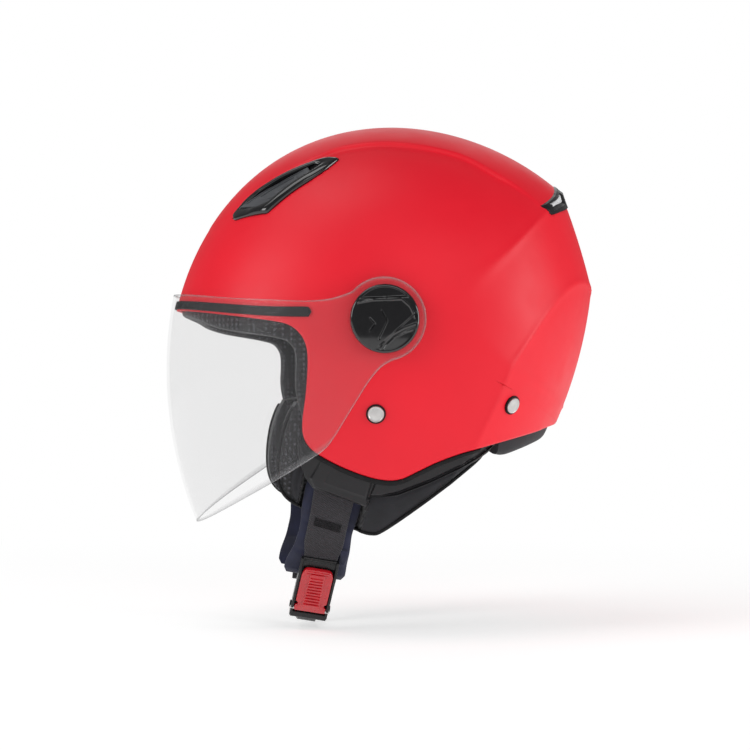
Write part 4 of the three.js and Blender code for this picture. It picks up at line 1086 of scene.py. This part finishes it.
for side_name, sign in SIDES:
    settle(vent_frame_piece("front_vent_" + side_name + "_rim", sign), "shell", "gloss_black",
           "front_vent_frame_" + side_name)
    settle(slider_piece("front_vent_" + side_name + "_blade", sign), "front_vent_slider_" + side_name,
           "grey_plastic", "front_vent_slider_" + side_name)


# ------------------------------------------------------------------ rear air outlet
def back_y(x, z, inset):
    """y of the back of the form at x and z."""
    x, z = spread(x, z)
    return solve(lambda y: np.stack([x, y, z], -1), inset, np.full(x.shape, 20.0), 240.0)


MIDDLE_WINDOW = np.array([[-31, 84], [30, 84], [27, 92.4], [-31, 92.4]], float)
OUTLET_PROUD = 0.9
OUTLET_BACK = 5.4


def columns(x, top, low, around, squareness):
    """Columns at x between an upper and a lower line: x, z and the share of the depth, from -1 to 1."""
    c, s = oval(around, squareness)
    z = (top + low)[:, None] / 2 + (top - low)[:, None] / 2 * c
    return x[:, None] + 0 * z, z, s


def window_depth(x, z):
    """How far the outlet's frame is sunk: wells in the two grille windows and in the middle one."""
    p = np.stack([np.abs(x), z], -1)
    side = step(outline_depth(p, GRILLE_WINDOW), -0.3, 0.5)
    mid = step(outline_depth(p, MIDDLE_WINDOW), -0.3, 0.6)
    louvre = 0.5 + 0.5 * np.cos(x / 4.2 * math.pi)
    return 3.9 * side + mid * (2.2 + 2.4 * step(louvre, 0.3, 0.6))


def rear_frame_piece():
    """The outlet's frame across the back: columns follow x, each a rounded box between the lower and the
    upper line, standing proud of the skin except in its windows and near its two ends."""
    x = np.linspace(-77, 77, 330)
    top = np.interp(np.abs(x), REAR_TOP[::-1, 0], REAR_TOP[::-1, 1])
    low = np.interp(np.abs(x), REAR_LOW[:, 0], REAR_LOW[:, 1])
    low = np.minimum(np.where(np.abs(x) > 74, 71.4 + (np.abs(x) - 74) * 1.5, low), top - 0.6)
    xx, z, s = columns(x, top, low, 96, 0.22)
    proud = -OUTLET_PROUD * np.minimum(1, (77.6 - np.abs(xx)) / 3.0)
    inset = np.where(s[None, :] > 0, proud + window_depth(xx, z), OUTLET_BACK)
    front, back = back_y(xx, z, proud), back_y(xx, z, OUTLET_BACK)
    edge = np.abs(s)[None, :] < 0.86
    y = np.where(edge, (front + back) / 2 + (front - back) / 2 * s, back_y(xx, z, np.clip(inset, -1, 6)))
    return rings_piece("rear_vent_surround", np.stack([xx, y, z], -1), crisp=32.0)


settle(rear_frame_piece(), "shell", "black_plastic", "rear_vent_frame")


def grille_piece(name, sign):
    """A silver plate in the side window with five slanted slots sunk into it."""
    x = np.linspace(40.6, 70.2, 150)
    top = np.interp(x, [40, 41, 70.5], [89.2, 89.0, 79.0]) - 0.4
    low = np.interp(x, [40, 61, 68.6, 70.5], [82.4, 78.6, 76.4, 78.6]) + 0.4
    xx, z, s = columns(x, top, np.minimum(low, top - 0.3), 64, 0.25)
    phase = (xx - 42.6 + (z - 84) * 0.35) / 4.7
    slot = 1 - step(np.abs((phase % 1) - 0.5), 0.2, 0.3)
    inside = np.minimum(top[:, None] - z, z - np.minimum(low, top - 0.3)[:, None])
    face = back_y(xx, z, 0.5 + slot * step(inside, 0.7, 1.3) * 1.6)
    back = back_y(xx, z, 3.0)
    y = (face + back) / 2 + (face - back) / 2 * s
    return rings_piece(name, np.stack([xx, y, z], -1), sign, 32.0)


for side_name, sign in SIDES:
    settle(grille_piece("rear_vent_" + side_name + "_louvres", sign), "shell", "silver_plastic",
           "rear_vent_grille_" + side_name)


# ------------------------------------------------------------------ visor pivots
COVER_FACE = 131.6
COVER_SINK = 1.3
COVER_LINE = 0.6
GRIP_BAR = np.array([[-3.4, -20.2], [0.2, -14.6], [5.0, -10.0], [12.0, -6.2], [20.4, -3.2]])
UPPER_RIB = np.array([[-18.5, 10.2], [-8.0, 11.9], [4.0, 12.2], [10.5, 12.6], [15.8, 8.2], [19.4, 1.0]])
CHEVRONS = (np.array([[-9.8, 0.2], [-6.6, -3.4], [-10.2, -8.0]]),
            np.array([[-2.4, 5.4], [1.4, -1.6], [-4.2, -13.8]]))
# radius and x of the cover's side and back
COVER_SIDE = ((22.5, 127.4), (22.2, 126.2), (21.0, 126.05), (0.01, 126.05))


def cover_piece(name, sign):
    """The quarter-turn cover: a disc by radius and angle whose face has two flats sunk behind chords,
    raised ribs and two fine chevron lines, and whose rim is rounded."""
    radii = np.concatenate([np.linspace(0.01, 21.0, 84), [21.3, 21.6, 21.9, 22.15, 22.33, 22.45, 22.5]])
    a = turns(220)
    y, z = radii[:, None] * np.cos(a), radii[:, None] * np.sin(a)
    r = radii[:, None] + 0 * y
    edge = np.clip((r - 21.1) / 1.4, 0, 1)
    face = COVER_FACE - 0.0016 * r ** 2 - 1.5 * (1 - np.sqrt(np.clip(1 - edge ** 2, 0, 1)))
    # chords that bound the two sunk flats
    upper = z - (13.6 + 0.045 * y)
    lower = -(z + 6.6 - (y - 8.0) * 0.88) / 1.33
    flats = step(upper, -0.3, 0.7) + step(lower, -0.3, 0.7) * step(y, -6, -2)
    rib = near_line(y, z, GRIP_BAR, 1.0) + near_line(y, z, GRIP_BAR + [0.9, -2.6], 0.8)
    rib = rib + near_line(y, z, UPPER_RIB, 0.8)
    chevron = sum(near_line(y, z, line, 0.55) for line in CHEVRONS)
    relief = COVER_LINE * (np.clip(rib, 0, 1) - np.clip(chevron, 0, 1)) - COVER_SINK * flats
    face = face + relief * (1 - step(r, 20.4, 21.0))
    side = [np.stack([np.full(len(a), x), rim * np.cos(a), rim * np.sin(a)], -1) for rim, x in COVER_SIDE]
    return rings_piece(name, np.concatenate([np.stack([face, y, z], -1), side]), sign, 30.0, caps=False)


for side_name, sign in SIDES:
    settle(cover_piece("pivot_cover_" + side_name + "_cap", sign), "pivot_cover_" + side_name, "gloss_black",
           "pivot_cover_" + side_name)


# ------------------------------------------------------------------ rivets
# a point on each left rivet's axis, and the axis
RIVETS = {"front": ((114.514, -4.6, -61.9), (0.9794, -0.0814, -0.1846)),
          "rear": ((102.27, 86.6, -56.3), (0.7137, 0.6173, -0.3309))}


def lathe(name, profile, origin, axis, sign, segments=72, crisp=35.0):
    """A solid of revolution: the profile of radius and height turned about the axis."""
    w = unit(np.array(axis, float))
    u = unit(np.cross(w, [0, 0, 1.0]))
    v = np.cross(w, u)
    a = turns(segments)[None, :, None]
    p = np.array(profile, float)[:, None]
    rings = np.array(origin) + p[..., 1:] * w + p[..., :1] * (np.cos(a) * u + np.sin(a) * v)
    return rings_piece(name, rings, sign, crisp)


RIVET_HEAD = [[0.01, -1.2], [5.2, -1.2], [5.4, 1.2], [5.35, 1.75], [5.1, 2.05], [4.75, 2.1], [4.55, 2.0],
              [4.4, 1.86], [4.1, 1.84], [3.0, 2.0], [1.5, 2.12], [0.01, 2.16]]
WASHER = [[2.6, -1.0], [6.2, -1.0], [6.5, 0.6], [6.4, 1.0], [6.0, 1.15], [5.2, 1.15], [2.6, 1.1]]
for place, (origin, axis) in RIVETS.items():
    for side_name, sign in SIDES:
        settle(lathe(f"rivet_{place}_{side_name}_head", RIVET_HEAD, origin, axis, sign), "shell", "steel",
               f"rivet_{place}_{side_name}")
        settle(lathe(f"rivet_ring_{place}_{side_name}", WASHER, origin, axis, sign), "shell", "rubber",
               f"rivet_washer_{place}_{side_name}")


# ------------------------------------------------------------------ chin strap
BUCKLE_LEAN = math.radians(40)
ALONG = np.array([-math.sin(BUCKLE_LEAN), math.cos(BUCKLE_LEAN)])
OUTWARD = np.array([math.cos(BUCKLE_LEAN), math.sin(BUCKLE_LEAN)])
BUCKLE_TOP = np.array([54.0, 56.0])
X_AXIS = np.array([1.0, 0, 0])


def in_buckle(s, t):
    """The strap plane's u, v of a point s along the buckle and t out from it."""
    return BUCKLE_TOP + ALONG * s + OUTWARD * t


def in_strap(u, v, w):
    """The point at u across the helmet, v down the straps and w along the tape's width."""
    u, v, w = np.broadcast_arrays(u, v, w)
    return STRAP_O + u[..., None] * X_AXIS + v[..., None] * DOWN + w[..., None] * WIDE


def across_line(line):
    """Unit normals of a line in the strap plane."""
    tangent = unit(np.gradient(line, axis=0))
    return np.stack([tangent[:, 1], -tangent[:, 0]], -1)


def tape(name, line, width, thickness, offset=0.0, around=40, squareness=0.2, swell=None, shift=None,
         sign=1.0, crisp=45.0):
    """A tape along a line in the strap plane: each section is a rounded box, width wide and thickness
    deep, with swell(s, w) as a share of the depth and shift(s) moving the section along the width."""
    normal = across_line(line)
    c, d = oval(around, squareness)
    s = np.linspace(0, 1, len(line))[:, None]
    w = np.reshape(width, (-1, 1)) / 2 * c + 0 * s
    if shift is not None:
        w = w + shift(s, c[None, :])
    depth = thickness / 2 * np.ones_like(w)
    if swell is not None:
        depth = depth * swell(s, c[None, :])
    out = offset + depth * d
    u, v = line[:, :1] + normal[:, :1] * out, line[:, 1:] + normal[:, 1:] * out
    return rings_piece(name, in_strap(u, v, w), sign, crisp)


def selvedge(s, c):
    """A woven tape's thicker edge cords, and the slight give of its middle."""
    return 1 + 0.22 * bump_at(np.abs(c), 0.93, 0.05) - 0.06 * bump_at(c, 0, 0.6)


def ripple(s, c):
    """The slight waviness of the tape's edges."""
    return 0.35 * np.sin(s * 9.0) * c


TAPE = 1.8
left_line = curve([*HANG[:5], in_buckle(-3, 0.9), in_buckle(4.5, 0.9)], 150)
left_width = np.interp(np.linspace(0, 1, 150), [0, 0.55, 0.78, 0.9, 1], [27.4, 27.0, 26.0, 22.4, 22.0])
settle(tape("strap_left_tape", left_line, left_width, TAPE, swell=selvedge, shift=ripple), "chin_strap",
       "webbing", "strap_left")
right_line = curve([*HANG[:5], in_buckle(-3, 0.9), in_buckle(12, 0.9), in_buckle(30, 0.9)], 190)
right_width = np.interp(np.linspace(0, 1, 190), [0, 0.6, 0.8, 1], [24.3, 24.3, 22.0, 21.6])
settle(tape("strap_right_tape", right_line, right_width, TAPE, swell=selvedge, sign=-1.0), "chin_strap",
       "webbing", "strap_right")


THREAD = 0.3


def stitches(name, body, box, line, out, sign=1.0):
    """A bar tack: rows of short raised threads over a slanted box on the tape, each thread a bent rod."""
    (s0, s1), (w0, w1), rows, tilt = box
    run = run_of(line)
    slope = [np.gradient(line[:, i], run) for i in range(2)]
    ends = np.linspace(w0, w1, 30)
    zig = np.where(np.arange(30) % 2 == 0, -0.42, 0.42)
    a = turns(6)[None, :, None]
    parts = []
    for k in range(rows):
        at = s0 + (s1 - s0) * k / (rows - 1) + (ends - w0) * tilt + zig
        tangent = unit(np.stack([np.interp(at, run, g) for g in slope], -1))
        u, v = (np.interp(at, run, line[:, i]) for i in range(2))
        centre = in_strap(u + tangent[:, 1] * out, v - tangent[:, 0] * out, ends)
        n3 = tangent[:, 1:] * X_AXIS - tangent[:, :1] * DOWN
        t3 = tangent[:, :1] * X_AXIS + tangent[:, 1:] * DOWN
        rings = centre[:, None] + THREAD * (np.cos(a) * n3[:, None] + np.sin(a) * t3[:, None])
        parts.append(rings_piece(name + str(k), rings, sign))
    settle(joined(name, parts), body, "webbing", look="rubber")


def joined(name, parts):
    """Several closed meshes as one piece."""
    bm = bmesh.new()
    for p in parts:
        bm.from_mesh(p.data)
        old = p.data
        bpy.data.objects.remove(p)
        bpy.data.meshes.remove(old)
    mesh = bpy.data.meshes.new(name)
    bm.to_mesh(mesh)
    bm.free()
    piece = bpy.data.objects.new(name, mesh)
    bpy.context.scene.collection.objects.link(piece)
    return piece


stitches("strap_left_bar_tack", "chin_strap", ((38.5, 44.0), (-9.5, 9.0), 5, 0.14), left_line, 1.0)
stitches("strap_right_bar_tack", "chin_strap", ((38.5, 44.0), (-9.0, 9.0), 5, 0.14), right_line, 1.0, -1.0)

pad_line = curve([[85.8, 3], *HANG[2:5], in_buckle(-3, 0.9), in_buckle(12, -0.4), in_buckle(24, -0.6)], 150)


def pad_swell(s, c):
    """A quilted pad: full in the middle, pinched at its sewn edge and its rounded ends, with two cross
    creases."""
    ends = np.clip(np.minimum(s, 1 - s) * 14, 0, 1) ** 0.5
    edge = (1 - np.abs(c) ** 6) * 0.75 + 0.25
    crease = 1 - 0.18 * bump_at(s, 0.42, 0.03) - 0.2 * bump_at(s, 0.7, 0.035)
    return np.maximum(ends * edge * crease, 0.08)


def pad_shift(s, c):
    """The pad's wavy outline: its edges wander by a couple of millimetres, more towards the lower end."""
    wave = 0.6 * np.sin(s * 8 + 0.6) + 0.25 * np.sin(s * 19 + 2.0)
    flare = -2.6 * step(s, 0.62, 0.9)
    return np.where(c < 0, -wave * np.abs(c) + flare * np.abs(c), wave * np.abs(c))


pad_width = np.interp(np.linspace(0, 1, 150), [0, 0.05, 0.12, 0.5, 0.8, 0.95, 1],
                      [33, 37, 38.4, 37.4, 38.0, 38.0, 34])
for side_name, sign in SIDES:
    strap_pad = tape("strap_pad_" + side_name + "_cloth", pad_line, pad_width, 6.9, -4.8, 56, 0.5, pad_swell,
                     pad_shift, sign)
    settle(strap_pad, "chin_strap", "navy_pad", "strap_pad_" + side_name, fill=0.6)

# ------------------------------------------------------------------ buckle
# the buckle's own frame: its top, and the directions along it, out from it and across it
B0 = STRAP_O + BUCKLE_TOP[0] * X_AXIS + BUCKLE_TOP[1] * DOWN
BU = ALONG[0] * X_AXIS + ALONG[1] * DOWN
BW = OUTWARD[0] * X_AXIS + OUTWARD[1] * DOWN
BV = np.cross(BW, BU)


def in_box(s, v, t):
    """The point s along the buckle, v across it and t out from it."""
    s, v, t = spread(s, v, t)
    return B0 + s[..., None] * BU + v[..., None] * BV + t[..., None] * BW


def on_side(a, b, h):
    """Places an outline that is drawn along and out from the buckle, its height across it."""
    return in_box(a, h, b)


def offset_loop(loop, by):
    """A closed outline moved outward along the halved corner angles."""
    p = np.asarray(loop, float)
    a = unit(p - np.roll(p, 1, 0))
    b = np.roll(a, -1, 0)
    area = (p[:, 0] * np.roll(p[:, 1], -1) - np.roll(p[:, 0], -1) * p[:, 1]).sum()
    n = unit(np.stack([a[:, 1] + b[:, 1], -a[:, 0] - b[:, 0]], -1))
    k = np.maximum(0.4, n[:, 0] * a[:, 1] - n[:, 1] * a[:, 0])
    return p + n * (math.copysign(1.0, area) * by / k)[:, None]


def rounded_outline(points, radius, steps=5):
    """A closed outline whose corners are cut by arcs: each corner becomes a quadratic curve between its
    sides."""
    p = np.asarray(points, float)
    out = []
    for a, b, c in zip(np.roll(p, 1, 0), p, np.roll(p, -1, 0)):
        s, e = (b + unit(q - b) * min(radius, np.linalg.norm(q - b) * 0.45) for q in (a, c))
        t = np.linspace(0, 1, steps)[:, None]
        out.append((1 - t) ** 2 * s + 2 * t * (1 - t) * b + t ** 2 * e)
    return np.vstack(out)


def slab(corners, radius, low, high, bevel, place, steps=3):
    """A plate of an outline with rounded corners between two heights, its edges rounded by the bevel.
    place(a, b, h) puts outline coordinates and height into space."""
    loop = rounded_outline(corners, radius)
    rings = []
    for level, way in ((low, 1), (high, -1)):
        for k in range(steps + 1)[::way]:
            a = math.pi / 2 * k / steps
            q = offset_loop(loop, -bevel * (1 - math.sin(a)))
            rings.append(place(q[:, 0], q[:, 1], level + way * bevel * (1 - math.cos(a))))
    return rings_piece("slab", rings, crisp=32.0)


def box(a0, a1, half, low, high, radius, bevel):
    """A bar across the buckle from a0 to a1 along it."""
    return slab([[a0, -half], [a1, -half], [a1, half], [a0, half]], radius, low, high, bevel, in_box)


WALL_SIDE = [[0, 1.9], [52, 1.9], [52, 7.6], [49.4, 9], [30, 9], [28.6, 8.4], [16, 8.4], [14, 9], [9, 9],
             [0, 5.0]]
END_BAR = [[46.4, 5.9], [52, 5.9], [52, 8.4], [50.6, 9.1], [47.0, 8.8]]
TAPE_BAR = [[1.2, 3.2], [7.2, 3.2], [7.2, 4.6], [5.6, 5.4], [2.0, 4.4]]
HINGE_BOSS = [[41.2, 3.4], [45.8, 3.4], [45.2, 6.6], [42.0, 7.2]]
parts = [slab(WALL_SIDE, 0.9, w, w + 1.8, 0.45, on_side) for w in (-13.0, 11.2)]
parts.append(box(0, 52, 12.6, 1.9, 3.3, 0.8, 0.35))
parts.append(slab(END_BAR, 0.6, -12.4, 12.4, 0.3, on_side))
parts.append(slab(TAPE_BAR, 0.4, -11.4, 11.4, 0.2, on_side))
parts += [slab(HINGE_BOSS, 0.5, v - 0.7, v + 0.7, 0.2, on_side) for v in (-13.3, 13.3)]
settle(joined("buckle_channel", parts), "chin_strap", "black_plastic", "buckle_frame", look="buckle_plastic")

LEVER_HALF = np.array([[5.2, 7.2], [6.2, 9.2], [9.6, 10.6], [35.8, 10.7], [36.8, 9.0], [39.2, 9.0],
                       [40.2, 10.7], [44.6, 10.7]])
RIBS = 10
parts = [slab(np.vstack([LEVER_HALF * [1, -1], LEVER_HALF[::-1]]), 1.2, 6.3, 9.5, 0.6, in_box)]
parts.append(slab([[8.4, -5.0], [40.5, -6.3], [40.5, 6.3], [8.4, 5.0]], 1.6, 9.0, 10.6, 0.3, in_box))
for k in range(RIBS):
    along = 11.4 + k * 2.75
    parts.append(box(along, along + 1.25, 4.4 + 0.035 * (along - 8), 10.2, 11.5, 0.5, 0.35))
parts += [box(along, along + 1.1, 7.4, 9.2, 10.0, 0.4, 0.3) for along in (6.4, 8.6)]
settle(joined("buckle_lever_press", parts), "buckle_lever", "red_lever", "buckle_lever")

pin_at = in_box(43.5, 0.0, 7.8)
PIN = [[0.01, -13.5], [1.1, -13.5], [1.25, -13.2], [1.25, 13.2], [1.1, 13.5], [0.01, 13.5]]
settle(lathe("buckle_hinge_pin", PIN, pin_at, BV, 1.0, 32), "chin_strap", "steel", "buckle_pin")
dress("tongue", "buckle_plastic")

# small cloth keeper beside the buckle's top
keeper_line = np.array([in_buckle(s, -1.4 - 0.6 * math.sin(s * 0.3)) for s in np.linspace(-9, 4, 40)])
keeper = tape("strap_keeper_tab", keeper_line, 5.0, 1.6, 1.4, 20, 0.5, None,
              lambda s, c: 14.6 + 0.8 * np.sin(s * 3) + 0 * c)
settle(keeper, "chin_strap", "navy_pad")

# ------------------------------------------------------------------ floor
floor_mesh = bpy.data.meshes.new("studio_floor")
ring = turns(96)
floor_z = float(cad_box[0][2]) - 0.004
disc = np.stack([3.2 * np.cos(ring), 3.2 * np.sin(ring), np.full(96, floor_z)], -1)
floor_mesh.from_pydata([tuple(p) for p in disc], [], [tuple(range(96))])
floor = bpy.data.objects.new("studio_floor", floor_mesh)
bpy.context.scene.collection.objects.link(floor)
paper = bpy.data.materials.new("pale_paper")
paper.use_nodes = True
sheet = paper.node_tree.nodes["Principled BSDF"]
sheet.inputs["Roughness"].default_value = 0.95
sheet.inputs["Specular IOR Level"].default_value = 0.0
sheet.inputs["Emission Color"].default_value = (1, 1, 1, 1)
# the sheet turns from lit paper into an even white glow with distance, so that it meets the white room
spot = paper.node_tree.nodes.new("ShaderNodeTexCoord")
far = paper.node_tree.nodes.new("ShaderNodeVectorMath")
far.operation = "LENGTH"
paper.node_tree.links.new(spot.outputs["Object"], far.inputs[0])
for socket, near_value, far_value in (("Emission Strength", 0.5, 1.0), ("Base Color", 0.8, 0.0)):
    fall = paper.node_tree.nodes.new("ShaderNodeMapRange")
    fall.interpolation_type = "SMOOTHSTEP"
    fall.inputs["From Min"].default_value = 0.25
    fall.inputs["From Max"].default_value = 0.95
    fall.inputs["To Min"].default_value = near_value
    fall.inputs["To Max"].default_value = far_value
    paper.node_tree.links.new(far.outputs["Value"], fall.inputs["Value"])
    paper.node_tree.links.new(fall.outputs["Result"], sheet.inputs[socket])
floor_mesh.materials.append(paper)
